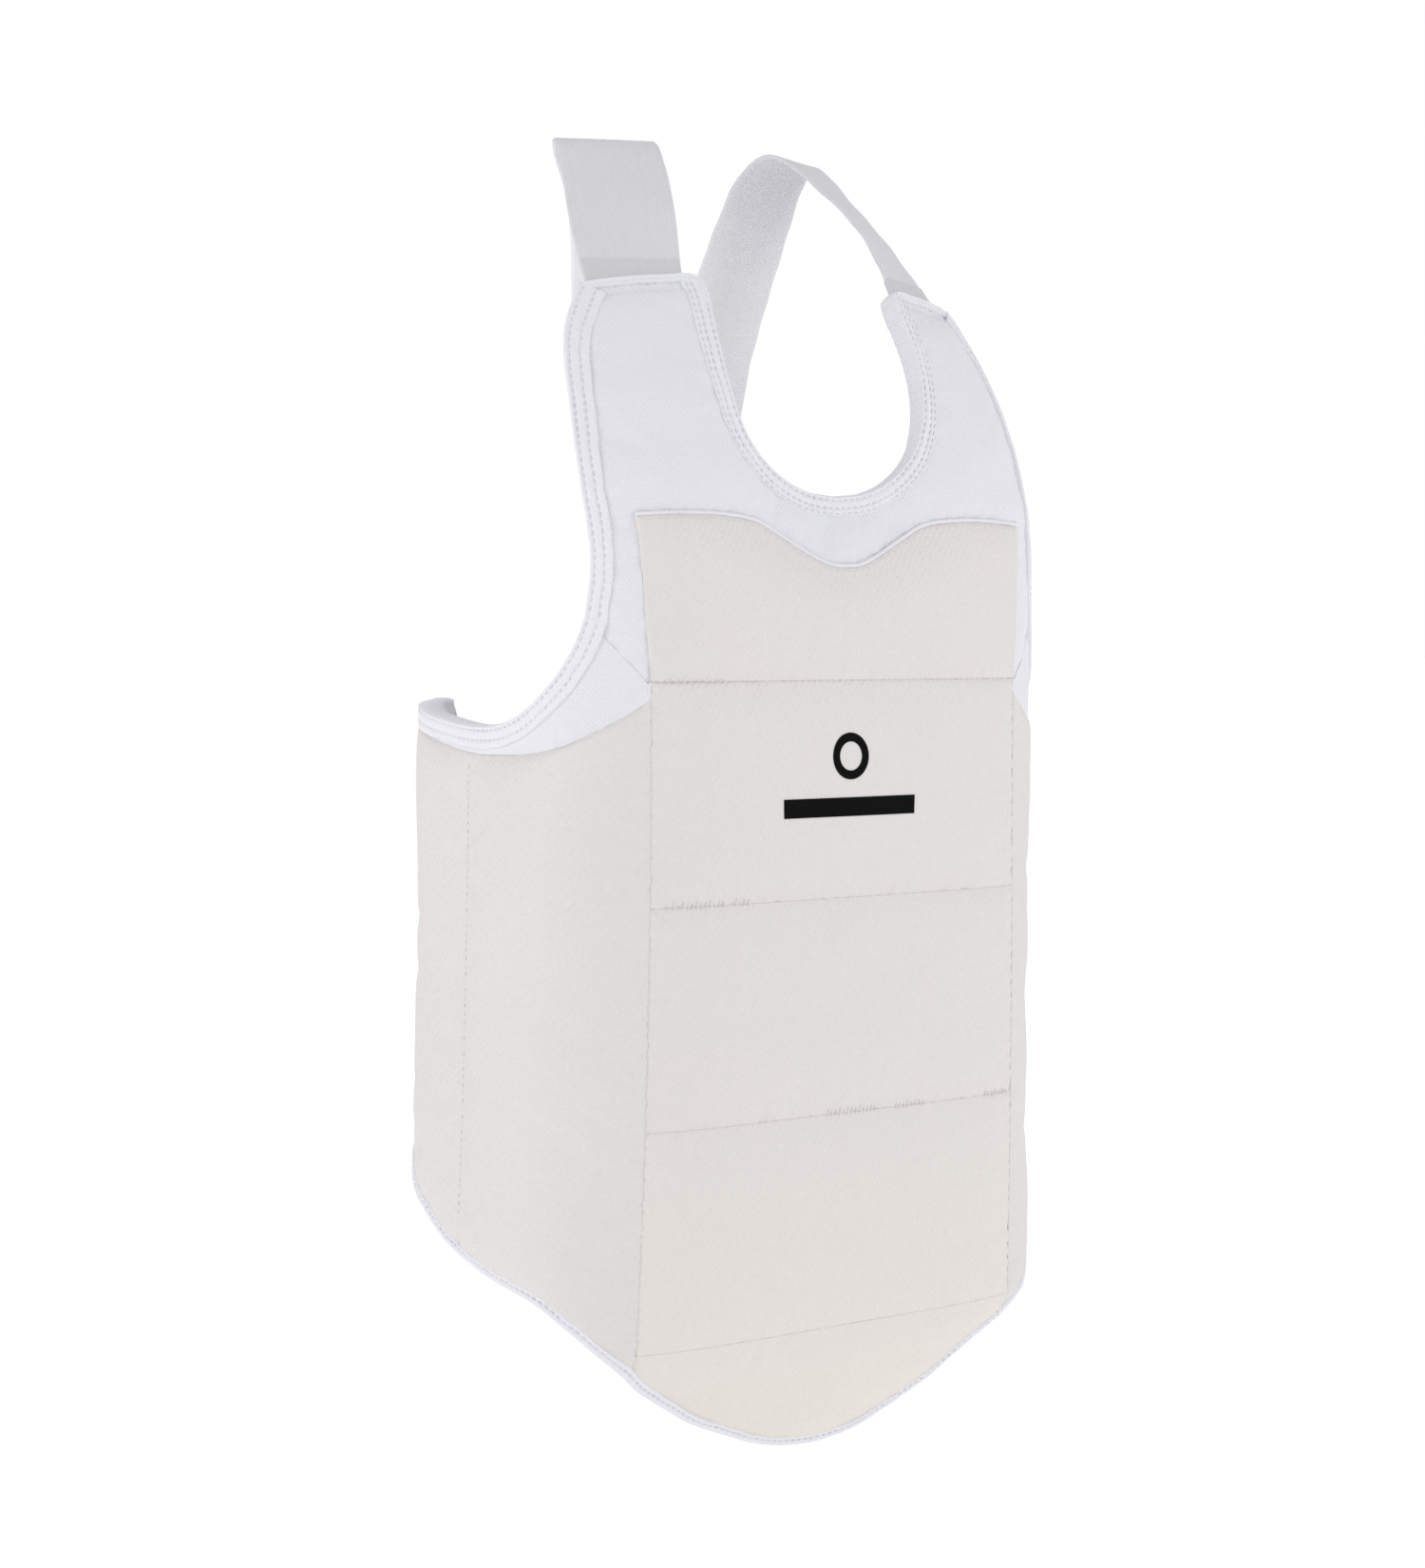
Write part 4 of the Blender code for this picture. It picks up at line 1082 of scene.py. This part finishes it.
# --------------------------------------------------------------------------
# Side wings: leathercloth below, a strip of textile along the armhole, one lining
# --------------------------------------------------------------------------
REAR_IN, LOW_IN, ARM_IN = (moved(path, -0.0034) for path in (WING_REAR, WING_LOW, ARMHOLE_LOW))
ARM_IN[0] = ARM_CORNER


def before(path, arc):
    return path[path[:, 0] < arc]


wing_corner = (S_SEAM, height_at(LOW_IN, S_SEAM))
wing_rim = [*REAR_IN[2:-2], *(point for point in LOW_IN[2:] if point[0] > S_SEAM + 0.002)]
WING_OUTLINE = [wing_corner, (S_SEAM, WING_TOP[0][1] + 0.0005), *before(WING_TOP[1:], 0.2790),
                *wing_rim]
GUSSET_OUTLINE = [YOKE_CORNER, *before(WING_TOP, 0.2760), *before(ARM_IN, 0.2740)[::-1],
                  CUT_FRONT]
LINING_OUTLINE = [wing_corner, YOKE_CORNER, CUT_FRONT, *before(ARM_IN, 0.2790), *wing_rim]

for side, sign in SIDES:
    seams = [mirror(line((S_SEAM, 0.045), (S_SEAM, 0.355), 90), sign),
             mirror(line((S_STITCH, 0.085), (S_STITCH, 0.330), 70), sign)]
    wing = pad("wing_pad_" + side, mirror(WING_OUTLINE, sign), WING_COVER, COVER_BACK,
               wing_face(sign), seams=seams, sim=QUILT_PUFF, step=0.0024)
    assign(wing, WING_TURN[side], "cover", "wing_cover_" + side, "wing_foam_" + side)
    gusset = pad("gusset_" + side, mirror(GUSSET_OUTLINE, sign), TEXTILE, COVER_BACK,
                 textile_face(seed=91 + sign, base=0.0008, crown=0.0008, drift=0.0003))
    assign(gusset, FOLD_TURN[side], "textile", "wing_gusset_" + side)
    lining = pad("wing_inside_" + side, mirror(LINING_OUTLINE, sign), LINING, COVER_BACK,
                 lining_face(seed=95 + sign), step=LINING_STEP, seams=seams)
    assign(lining, WING_TURN[side], "lining", "wing_lining_" + side)

# --------------------------------------------------------------------------
# Bindings: cloth folded over the raw edges and sewn through
# --------------------------------------------------------------------------
FOLD_REACH = 0.0016          # how far the rounded fold reaches in from the edge


def binding_section(width, inner, crown, lines):
    """Closed cross-section as (inwards from the edge, depth), dented along the sewn lines."""
    section = []
    for x in np.linspace(width, FOLD_REACH, 22):
        rise = min(1.0, (width - x) / 0.0008)
        depth = 0.0006 - (crown + 0.0006) * math.sqrt(max(0.0, 1 - (1 - rise) ** 2))
        for place in lines:
            depth += 0.00055 * bell(x - place, 0.0007, 2)
        section.append((x, depth))
    middle, radius = 0.5 * (inner - crown), 0.5 * (inner + crown)
    for angle in np.linspace(0.06, 0.94, 9) * math.pi:
        section.append((FOLD_REACH - FOLD_REACH * math.sin(angle),
                        middle - radius * math.cos(angle)))
    for x in np.linspace(FOLD_REACH, width - 0.0006, 9):
        section.append((x, inner - 0.0004 * bell(x - lines[0], 0.0009, 2)))
    section.append((width, inner - 0.0008))
    return np.array(section)


def binding(name, path, side, width, inner, seed, lines=(0.0028, 0.0072), step=0.0020,
            crown=0.0010, stitches=None, first=None, last=None):
    """side is 1 when the cloth lies to the left of the path, -1 when to its right; inner is
    the depth of the inner face; first and last turn the end sections."""
    path = even(path, step)
    inward = side_dir(path) * side
    count = len(path)
    for end, order in ((first, range(7)), (last, range(count - 1, count - 8, -1))):
        if end is not None:
            for k, i in enumerate(order):
                share = 1.0 - k / 7.0
                inward[i] = inward[i] * (1 - share) + np.array(end) * share
                inward[i] /= np.linalg.norm(inward[i])
    across, height = binding_section(width, inner, crown, lines).T
    run = run_length(path)
    rows, fabs = [], []
    for i in range(count):
        wobble = 0.00018 * ripple(run[i] / 0.012, seed) + 0.00025 * ripple(run[i] / 0.05, seed + 3)
        inset = (across * (1.0 + 0.02 * math.sin(run[i] / 0.02 + seed))
                 + np.where(across > width * 0.6, wobble * 1.5, 0))
        flat = path[i] + inward[i] * inset[:, None]
        depth = height + np.where(height < 0.001, wobble * 0.8, 0.0)
        rows.append(wrap(*flat.T, depth))
        fabs.append(np.column_stack((np.full(len(inset), run[i]), inset + height * 0.7, depth)))
    obj = sweep(name, rows, fabs, BINDING)
    if stitches is not None:
        for place in lines:
            stitches.sew(path + inward * place, -crown + 0.00045)
    return obj


front_thread = Stitches()
neck_edge = binding("neck_edge", both_halves(np.vstack((NECK, [(0.0560, 0.5328)]))), side=-1,
                    width=0.0098, inner=0.0088, seed=1, lines=(0.0026, 0.0062, 0.0086),
                    stitches=front_thread)
assign(neck_edge, "front", "binding", "neck_binding")
tab_path = np.vstack(([(0.1094, 0.5302)], ARMHOLE))
for side, sign in SIDES:
    tab_edge = binding("tab_edge_" + side, mirror(tab_path, sign), side=-sign, width=0.0110,
                       inner=0.0088, seed=5 + sign, stitches=front_thread,
                       last=(-sign * 0.966, -0.258))
    assign(tab_edge, "front", "binding", "tab_binding_" + side)
    tab_hem = binding("tab_hem_" + side, mirror(TAB_HEM, sign), side=-sign, width=0.0040,
                      inner=0.0091, seed=33 + sign, lines=(0.0024,), step=0.0015, crown=0.0012)
    assign(tab_hem, "front", "binding")

tip_thread = Stitches()
tip_path = np.vstack((TIP_EDGE, mirror(TIP_EDGE, -1)[::-1][1:]))
tip_edge = binding("tip_edge", tip_path, side=-1, width=0.0052, inner=0.0112, seed=9,
                   lines=(0.0034,), crown=0.0007, stitches=tip_thread)
assign(tip_edge, TIP_TURN, "binding", "tip_binding")
assign(tip_thread.make("tip_stitches", THREAD), TIP_TURN, "binding")

wing_path = np.vstack((WING_REAR, WING_LOW[1:]))
for side, sign in SIDES:
    thread = Stitches()
    arm_edge = binding("armhole_edge_" + side, mirror(ARMHOLE_LOW, sign), side=-sign,
                       width=0.0110, inner=0.0112, seed=13 + sign, stitches=thread,
                       first=(-sign * 0.966, -0.258))
    assign(arm_edge, FOLD_TURN[side], "binding", "wing_binding_" + side)
    assign(thread.make("armhole_stitches_" + side, THREAD), FOLD_TURN[side], "binding")
    thread = Stitches()
    wing_edge = binding("wing_edge_" + side, mirror(wing_path, sign), side=-sign, width=0.0056,
                        inner=0.0112, seed=17 + sign, lines=(0.0036,), crown=0.0007,
                        stitches=thread)
    assign(wing_edge, WING_TURN[side], "binding")
    assign(thread.make("wing_edge_stitches_" + side, THREAD), WING_TURN[side], "binding")


# --------------------------------------------------------------------------
# Welt round the top of the chest panel
# --------------------------------------------------------------------------
def welt(name, path, radius, depth, step, sides, seed):
    """Round cord of slightly uneven thickness."""
    path = even(path, step)
    centre = wrap(*path.T, depth)
    out = normal(*path.T)
    across = np.cross(out, unit(np.gradient(centre, axis=0)))
    run = run_length(centre)
    angle = 2 * math.pi * np.arange(sides) / sides
    rows, fabs = [], []
    for i in range(len(path)):
        uneven = radius * (1 + 0.10 * ripple(run[i] / 0.010, seed))
        rows.append(centre[i] + uneven * (np.cos(angle)[:, None] * across[i]
                                          + np.sin(angle)[:, None] * out[i]))
        fabs.append(np.column_stack((np.full(sides, run[i]), angle * radius, np.zeros(sides))))
    return sweep(name, rows, fabs, BINDING, sharp=60)


welt_path = both_halves(PANEL_TOP) + (0.0, 0.0006)
chest_welt = welt("chest_welt", welt_path, radius=0.00100, depth=0.0004, step=0.0018, sides=10,
                  seed=3)
assign(chest_welt, "front", "binding")

# --------------------------------------------------------------------------
# Stitch rows
# --------------------------------------------------------------------------
# Stitches lying across a cross seam: seam index, first arc, last arc, half length
CROSSING = (
    (3, -0.1030, -0.0690, 0.0016), (2, -0.0960, -0.0700, 0.0018), (2, -0.0640, -0.0560, 0.0018),
    (1, -0.0100, 0.0180, 0.0020), (1, 0.0300, 0.0480, 0.0018), (1, 0.0860, 0.1040, 0.0016))
CROSSING_PITCH = 0.0023

seam_thread = Stitches()
for i in (1, 2, 3):
    seam_path = line((-S_SEAM + 0.002, Z_SEAM[i]), (S_SEAM - 0.002, Z_SEAM[i]))
    seam_thread.sew(even(seam_path, STITCH_STEP), 0.00020 + CROSS_SEAM_DEPTH[i], radius=0.00024)
for _, sign in SIDES:
    seam_path = line((sign * S_SEAM, 0.056), (sign * S_SEAM, 0.352))
    seam_thread.sew(even(seam_path, STITCH_STEP), 0.00085, radius=0.00026)
for i, first_arc, last_arc, half_length in CROSSING:
    for j, arc in enumerate(np.arange(first_arc, last_arc, CROSSING_PITCH)):
        length = 2.0 * half_length * (1.0 + 0.25 * math.sin(j * 2.4 + i))
        low = Z_SEAM[i] - 0.0014
        seam_path = line((arc, low), (arc + 0.0002, low + length + 0.0016), 8)
        # the pitch is longer than the line, so each line takes one stitch
        seam_thread.sew_onto(even(seam_path, 0.0005),
                             ["lower_pad", "middle_pad", "upper_pad", "chest_pad"],
                             lift=0.00002, radius=0.00015, length=length, pitch=0.0090,
                             lead=0.0004)
assign(seam_thread.make("seam_stitches", COVER_THREAD), "front", "cover")

for side, sign in SIDES:
    thread = Stitches()
    flank = line((sign * S_STITCH, 0.112), (sign * S_STITCH, 0.318))
    thread.sew_onto(even(flank, STITCH_STEP), ["wing_pad_" + side], radius=0.00024)
    assign(thread.make("wing_stitches_" + side, COVER_THREAD), WING_TURN[side], "cover")

# beside the chest panel's top edge, and across the tabs where the straps are sewn in
chest_row = even(moved(welt_path, -0.0026), STITCH_STEP)
front_thread.sew_onto(chest_row[chest_row[:, 1] > 0.358], ["chest_pad"], radius=0.00026)
for _, sign in SIDES:
    for drop in (0.0048, 0.0088):
        front_thread.sew_onto(even(tab_line(sign, drop), STITCH_STEP), ["yoke"])
assign(front_thread.make("front_stitches", THREAD), "front", "binding")


# --------------------------------------------------------------------------
# Straps and belt
# --------------------------------------------------------------------------
def webbing(name, rows, thick, material, seed, across=33, wave=0.0, step=0.0025, doubled=0.0):
    """Flat band through rows of points, slightly wavy, thicker near its edges and over the
    doubled length at its start."""
    run = run_length(rows[:, rows.shape[1] // 2])
    count = max(3, int(run[-1] / step))
    along = np.linspace(0, run[-1], count)
    knots = rows.shape[1]
    grid = np.stack([sample(rows[:, k], run, along) for k in range(knots)], 1)
    # places across the band, closer together towards its edges
    share = np.linspace(0, 1, across)
    share = 0.5 - 0.5 * np.cos(math.pi * share) * 0.25 - 0.5 * (1 - 2 * share) * 0.75
    middle = np.stack([sample(row, np.linspace(0, 1, knots), share) for row in grid])
    out = unit(np.cross(np.gradient(middle, axis=0), np.gradient(middle, axis=1)))
    width = float(np.mean(np.linalg.norm(grid[:, -1] - grid[:, 0], axis=1)))
    x = (share - 0.5) * width
    edge = 0.5 * width - np.abs(x)
    rounding = np.clip(1 - (1 - np.clip(edge / 0.0009, 0, 1)) ** 2, 0.02, 1)
    profile = 0.5 * thick * np.sqrt(rounding) * (1 + 0.12 * bell(edge - 0.0022, 0.0010, 2))
    ribs = 0.00006 * np.cos(2 * math.pi * x / 0.0029)
    faces, fabs = [], []
    for i, place in enumerate(along):
        frill = np.sin(2 * math.pi * place / 0.021 + seed) * (2 * np.abs(share - 0.5)) ** 3
        bow = wave * (frill + 0.8 * ripple(place / 0.035, seed) * (share - 0.5))
        fold = min(1.0, max(0.0, (doubled - place) / 0.0004))
        half = profile * (1.0 + 0.65 * fold) + ribs
        top = middle[i] + out[i] * (half + bow)[:, None]
        bottom = middle[i] - out[i] * (half - bow)[:, None]
        faces.append(np.vstack((top, bottom[::-1])))
        fab_top, fab_bottom = (np.column_stack((x, np.full(across, place), np.full(across, mark)))
                               for mark in (0.0, 0.003))
        fabs.append(np.vstack((fab_top, fab_bottom[::-1])))
    return sweep(name, faces, fabs, material, sharp=50)


def band_row(x, y, z, turn=0.0):
    """Row across a strap, turned by degrees about the vertical."""
    across = np.array((math.cos(math.radians(turn)), math.sin(math.radians(turn)), 0.0))
    return np.array([np.array((x, y, z)) + across * STRAP_W * u for u in np.linspace(-0.5, 0.5, 5)])


# Shoulder strap from tab to back patch: x, extra x on the right strap, y before SHIFT_Y,
# y offset (rearwards on the left, forwards on the right), z, turn in degrees
STRAP_STATIONS = (
    (0.0745, -0.0010, -0.0185, 0.0, 0.5620, 36),
    (0.0640, 0.0010, 0.0000, 0.0, 0.5850, 34),
    (0.0550, 0.0030, 0.0180, 0.0, 0.6020, 25),
    (0.0495, 0.0015, 0.0300, 0.0, 0.5960, 13),
    (0.0420, -0.0030, 0.0380, 0.0, 0.5700, 6),
    (0.0320, -0.0040, 0.0545, 0.0, 0.5150, 0),
    (0.0262, -0.0020, 0.0590, 0.0, 0.4770, 0),
    (0.0160, 0.0, 0.0612, 0.0002, 0.4300, 0),
    (0.0095, 0.0, 0.0620, 0.0002, PATCH_LOW + 0.0280, 0))
PEAK_Y, PEAK_Z = 0.0200 + SHIFT_Y, 0.6060


def strap_rows(sign):
    rows = []
    for z in (0.5095, 0.5210, 0.5330):
        row = wrap(sign * (0.0845 + 0.87 * STRAP_W * np.linspace(-0.5, 0.5, 5)), z, 0.0043)
        rows.append(row[::sign])
    for x, right_x, y, offset, z, turn in STRAP_STATIONS:
        if sign < 0:
            x += right_x
        rows.append(band_row(sign * x, y + offset * sign + SHIFT_Y, z, sign * turn))
    return rows


for side, sign in SIDES:
    strap = webbing("shoulder_elastic_" + side, spline(strap_rows(sign)), STRAP_T, SHOULDER,
                    seed=3 + sign, wave=0.00022, step=0.0015, doubled=DOUBLED)
    over_shoulder = blend("front", "shoulder_straps", (0, PEAK_Y - 0.015, PEAK_Z),
                          (0, PEAK_Y + 0.015, PEAK_Z))
    assign(strap, over_shoulder, "elastic", "strap_front_" + side, "strap_rear_" + side)

# the belt is sewn inside the left wing and runs across the back to the hook tab, which lies
# on the outside of the right wing
SEWN_DEPTH = 0.0125
TAB_DEPTH = -0.0020 - 0.5 * BELT_T
tab_end = wrap(-0.3290, BELT_MID, TAB_DEPTH)
left_end = wrap(0.3262, BELT_MID, SEWN_DEPTH) + (-0.0030, 0, 0)


def upright(point):
    """Row up the belt's width."""
    return np.array([(point[0], point[1], z) for z in np.linspace(BELT_LOW, BELT_TOP, 5)])


belt_rows = [upright(wrap(arc, BELT_MID, SEWN_DEPTH)) for arc in np.linspace(0.2960, 0.3250, 8)]
belt_rows.append(upright(left_end))
for share in np.linspace(0.12, 1.0, 12):
    belt_rows.append(upright(left_end + (tab_end + (0.0006, 0, 0) - left_end) * share))
belt = webbing("waist_band", spline(belt_rows, 4), BELT_T, BELT, seed=7, across=41, wave=0.00015)
assign(belt, blend("wing_left", "waist_belt", left_end + (0.006, 0, 0), left_end - (0.006, 0, 0)),
       "elastic", "waist_elastic", "belt_anchor")

hook_rows = [upright(tab_end + (0.0004, 0, 0))]
hook_rows += [upright(wrap(-arc, BELT_MID, TAB_DEPTH)) for arc in np.linspace(0.3280, 0.2972, 9)]
hook = webbing("hook_end", spline(hook_rows, 3), BELT_T, BELT, seed=9, across=41)
assign(hook, blend("waist_belt", "belt_tab", tab_end + (0.003, 0, 0), tab_end - (0.004, 0, 0)),
       "hook", "hook_tab")

loop_low, loop_top = BELT_LOW + 0.003, BELT_TOP - 0.003
loop_pile = pad("loop_pile", [(-0.2972, loop_low), (-0.2972, loop_top), (-0.3200, loop_top),
                              (-0.3200, loop_low)], LOOP, 0.0010, loop_face, step=0.0018)
assign(loop_pile, "wing_right", "loop", "loop_patch")

# strap from the back patch down to the belt
belt_y = (left_end + (tab_end - left_end) * (-left_end[0] / (tab_end[0] - left_end[0])))[1]
OVER_BELT_Y = belt_y + 0.0019
back_rows = [band_row(0, y, z) for y, z in (
    (BACK_Y, 0.3860), (BACK_Y, 0.3700), (BACK_Y, 0.330), (0.5 * (BACK_Y + belt_y), 0.292),
    (belt_y + 0.0004, BELT_TOP + 0.004), (OVER_BELT_Y, BELT_TOP - 0.004),
    (OVER_BELT_Y, BELT_TOP - 0.026))]
back_elastic = webbing("back_elastic", spline(back_rows, 6), STRAP_T, ELASTIC, seed=15,
                       wave=0.0002)
assign(back_elastic, "waist_belt", "elastic", "back_strap")

# --------------------------------------------------------------------------
# Back patch: two layers of leathercloth sewn round the strap ends
# --------------------------------------------------------------------------
PATCH_OFFSET, PATCH_T = 0.0012, 0.0014
PATCH_INSET = 0.0034         # sewn line from the edge


def rounded(corners, radius, count=5):
    """Outline with its corners rounded by quadratic curves."""
    corners = np.array(corners, float)
    points = []
    for i, b in enumerate(corners):
        a, c = corners[i - 1], corners[(i + 1) % len(corners)]
        start = b + (a - b) / np.linalg.norm(a - b) * radius
        end = b + (c - b) / np.linalg.norm(c - b) * radius
        for t in np.linspace(0, 1, count):
            points.append((1 - t) ** 2 * start + 2 * t * (1 - t) * b + t * t * end)
    return np.array(points)


def patch_layer(name, outline, y, sign):
    """Flat piece in the X-Z plane, crowned towards sign along Y."""
    flat, tris, ring = fill(outline, 0.0022)
    edge, _ = reach(flat, ring)
    lift = PATCH_T * (1 - np.clip(1 - edge / 0.0012, 0, 1) ** 2 * 0.7)
    lift += 0.0007 * (1 - fade(edge, 0.010))
    lift -= 0.0004 * bell(edge - PATCH_INSET, 0.0009, 2)
    back, front = (np.column_stack((flat[:, 0], level, flat[:, 1]))
                   for level in (np.full(len(flat), y), y + sign * lift))
    fab = np.vstack((np.column_stack((flat, np.zeros(len(flat)))),
                     np.column_stack((flat, lift))))
    return two_sided(name, back, front, tris.tolist(), fab, COVER)


patch = rounded([(-0.0340, PATCH_TOP), (0.0340, PATCH_TOP), (0.0360, 0.4200),
                 (0.0270, PATCH_LOW), (-0.0270, PATCH_LOW), (-0.0360, 0.4200)], radius=0.005)
patch_row = even(moved(np.vstack((patch, patch[:2])), -PATCH_INSET), STITCH_STEP)
thread = Stitches()
for name, sign, replaced in (("patch_out", 1, "back_patch"),
                             ("patch_in", -1, "back_patch_inner")):
    layer = patch_layer(name, patch, BACK_Y + sign * PATCH_OFFSET, sign)
    assign(layer, "shoulder_straps", "cover", replaced)
    y = BACK_Y + sign * PATCH_OFFSET + sign * PATCH_T + sign * 0.00012
    thread.add(np.insert(patch_row, 1, y, axis=1), np.tile((0.0, sign, 0.0), (len(patch_row), 1)))
assign(thread.make("patch_stitches", COVER_THREAD), "shoulder_straps", "cover")

# crossed box of stitches where the back strap is sewn to the belt
thread = Stitches()
box_y = OVER_BELT_Y + STRAP_T / 2 + 0.0001
left_top, right_top, left_low, right_low = (
    (x, z) for z in (BELT_TOP - 0.007, BELT_TOP - 0.023) for x in (-0.020, 0.020))
for start, end in ((left_top, right_top), (left_low, right_low), (left_top, left_low),
                   (right_top, right_low), (left_top, right_low), (left_low, right_top)):
    thread.add(np.insert(line(start, end, 30), 1, box_y, axis=1), np.tile((0.0, 1.0, 0.0), (30, 1)))
assign(thread.make("box_stitches", THREAD), "waist_belt", "elastic")


# --------------------------------------------------------------------------
# Ring and bar printed on the upper panel
# --------------------------------------------------------------------------
def printed(name, flat, faces, replaced, rim=None):
    """Thin raised print over (arc, z) points."""
    out = normal(*flat.T)
    base = drape(surf(*flat.T), out, ["upper_pad"])
    fab = np.vstack((np.column_stack((flat, np.zeros(len(flat)))),) * 2)
    obj = two_sided(name, base + out * 0.00022, base - out * 0.0003, faces, fab, PRINT, rim,
                    sharp=50)
    assign(obj, "front", "print", replaced)


def print_ring(centre, outer_radius, inner_radius, count):
    angle = np.linspace(0, 2 * math.pi, count + 1)[:-1]
    circle = np.column_stack((np.cos(angle), np.sin(angle)))
    flat = np.vstack((circle * outer_radius + centre, circle * inner_radius + centre))
    pairs = [(i, (i + 1) % count) for i in range(count)]
    faces = [(i, j, count + j, count + i) for i, j in pairs]
    rim = pairs + [(count + j, count + i) for i, j in pairs]
    printed("print_ring", flat, faces, "emblem_ring", rim)


def print_bar(left, right, low, top):
    flat, tris, _ = fill([(left, low), (right, low), (right, top), (left, top)], 0.0016,
                         layers=(0.0006,))
    printed("print_bar", flat, tris.tolist(), "emblem_bar")


print_ring(centre=(-0.0020, 0.3200), outer_radius=0.0105, inner_radius=0.0065, count=96)
print_bar(left=-0.040, right=0.036, low=0.2930, top=0.3015)

# --------------------------------------------------------------------------
# Floor, light and camera
# --------------------------------------------------------------------------
scene = bpy.context.scene


def plain_floor(z, half_size, glow_seen, glow_base):
    """Pale floor that the camera sees a little paler than it lights the cloth."""
    material = bpy.data.materials.new("floor")
    material.use_nodes = True
    tree = material.node_tree
    bsdf = tree.nodes["Principled BSDF"]
    bsdf.inputs["Base Color"].default_value = (0.95, 0.95, 0.95, 1)
    bsdf.inputs["Roughness"].default_value = 0.9
    bsdf.inputs["Emission Color"].default_value = (1, 1, 1, 1)
    light_path = tree.nodes.new("ShaderNodeLightPath")
    glow = tree.nodes.new("ShaderNodeMath")
    glow.operation = "MULTIPLY_ADD"
    glow.inputs[1].default_value = glow_seen
    glow.inputs[2].default_value = glow_base
    tree.links.new(light_path.outputs["Is Camera Ray"], glow.inputs[0])
    tree.links.new(glow.outputs[0], bsdf.inputs["Emission Strength"])
    mesh = bpy.data.meshes.new("floor")
    corners = ((-1, -1), (1, -1), (1, 1), (-1, 1))
    mesh.from_pydata([(x * half_size, y * half_size, z) for x, y in corners], [], [(0, 1, 2, 3)])
    mesh.materials.append(material)
    obj = bpy.data.objects.new("floor", mesh)
    scene.collection.objects.link(obj)


def studio_world(light, seen):
    """White surroundings with one strength as light and another as seen by the camera."""
    world = scene.world or bpy.data.worlds.new("studio")
    scene.world = world
    world.use_nodes = True
    tree = world.node_tree
    tree.nodes.clear()
    backgrounds = []
    for strength in (light, seen):
        background = tree.nodes.new("ShaderNodeBackground")
        background.inputs[0].default_value = (1.0, 1.0, 1.0, 1)
        background.inputs[1].default_value = strength
        backgrounds.append(background)
    light_path = tree.nodes.new("ShaderNodeLightPath")
    mixer = tree.nodes.new("ShaderNodeMixShader")
    output = tree.nodes.new("ShaderNodeOutputWorld")
    tree.links.new(light_path.outputs["Is Camera Ray"], mixer.inputs[0])
    tree.links.new(backgrounds[0].outputs[0], mixer.inputs[1])
    tree.links.new(backgrounds[1].outputs[0], mixer.inputs[2])
    tree.links.new(mixer.outputs[0], output.inputs[0])


def area_light(name, location, target, size, power):
    light = bpy.data.lights.new(name, "AREA")
    light.shape = "RECTANGLE"
    light.size, light.size_y = size
    light.energy = power
    obj = bpy.data.objects.new(name, light)
    obj.location = location
    aim = Vector(target) - Vector(location)
    obj.rotation_euler = aim.to_track_quat("-Z", "Y").to_euler()
    scene.collection.objects.link(obj)


def add_camera(target, azimuth, pitch, distance, lens, shift_x):
    """Camera looking along azimuth from +Y, tilted down by pitch (radians)."""
    level = Vector((-math.sin(azimuth), math.cos(azimuth), 0.0))
    axis = level * math.cos(pitch) - Vector((0, 0, 1)) * math.sin(pitch)
    data = bpy.data.cameras.new("camera")
    data.lens = lens
    data.sensor_width = 36.0
    data.shift_x = shift_x
    data.clip_start, data.clip_end = 0.05, 100.0
    camera = bpy.data.objects.new("camera", data)
    camera.location = Vector(target) - axis * distance
    camera.rotation_mode = "QUATERNION"
    camera.rotation_quaternion = axis.to_track_quat("-Z", "Y")
    scene.collection.objects.link(camera)
    scene.camera = camera


plain_floor(z=-0.10, half_size=40.0, glow_seen=0.20, glow_base=0.22)
studio_world(light=0.63, seen=1.0)
scene.view_settings.view_transform = "Standard"
scene.view_settings.look = "None"
area_light("key", location=(-2.1, 0.00, 0.95), target=(0, 0, 0.30), size=(1.2, 1.2), power=13.0)
area_light("fill", location=(1.3, -1.9, 1.10), target=(0, 0, 0.30), size=(1.4, 1.4), power=15.0)
area_light("back", location=(0.6, 1.9, 1.3), target=(0, 0, 0.35), size=(1.5, 1.0), power=7.0)
add_camera(target=(0.0, SHIFT_Y, 0.303575), azimuth=-0.6396136, pitch=0.0498789,
           distance=1.42954, lens=69.24654545, shift_x=-0.010247878788)
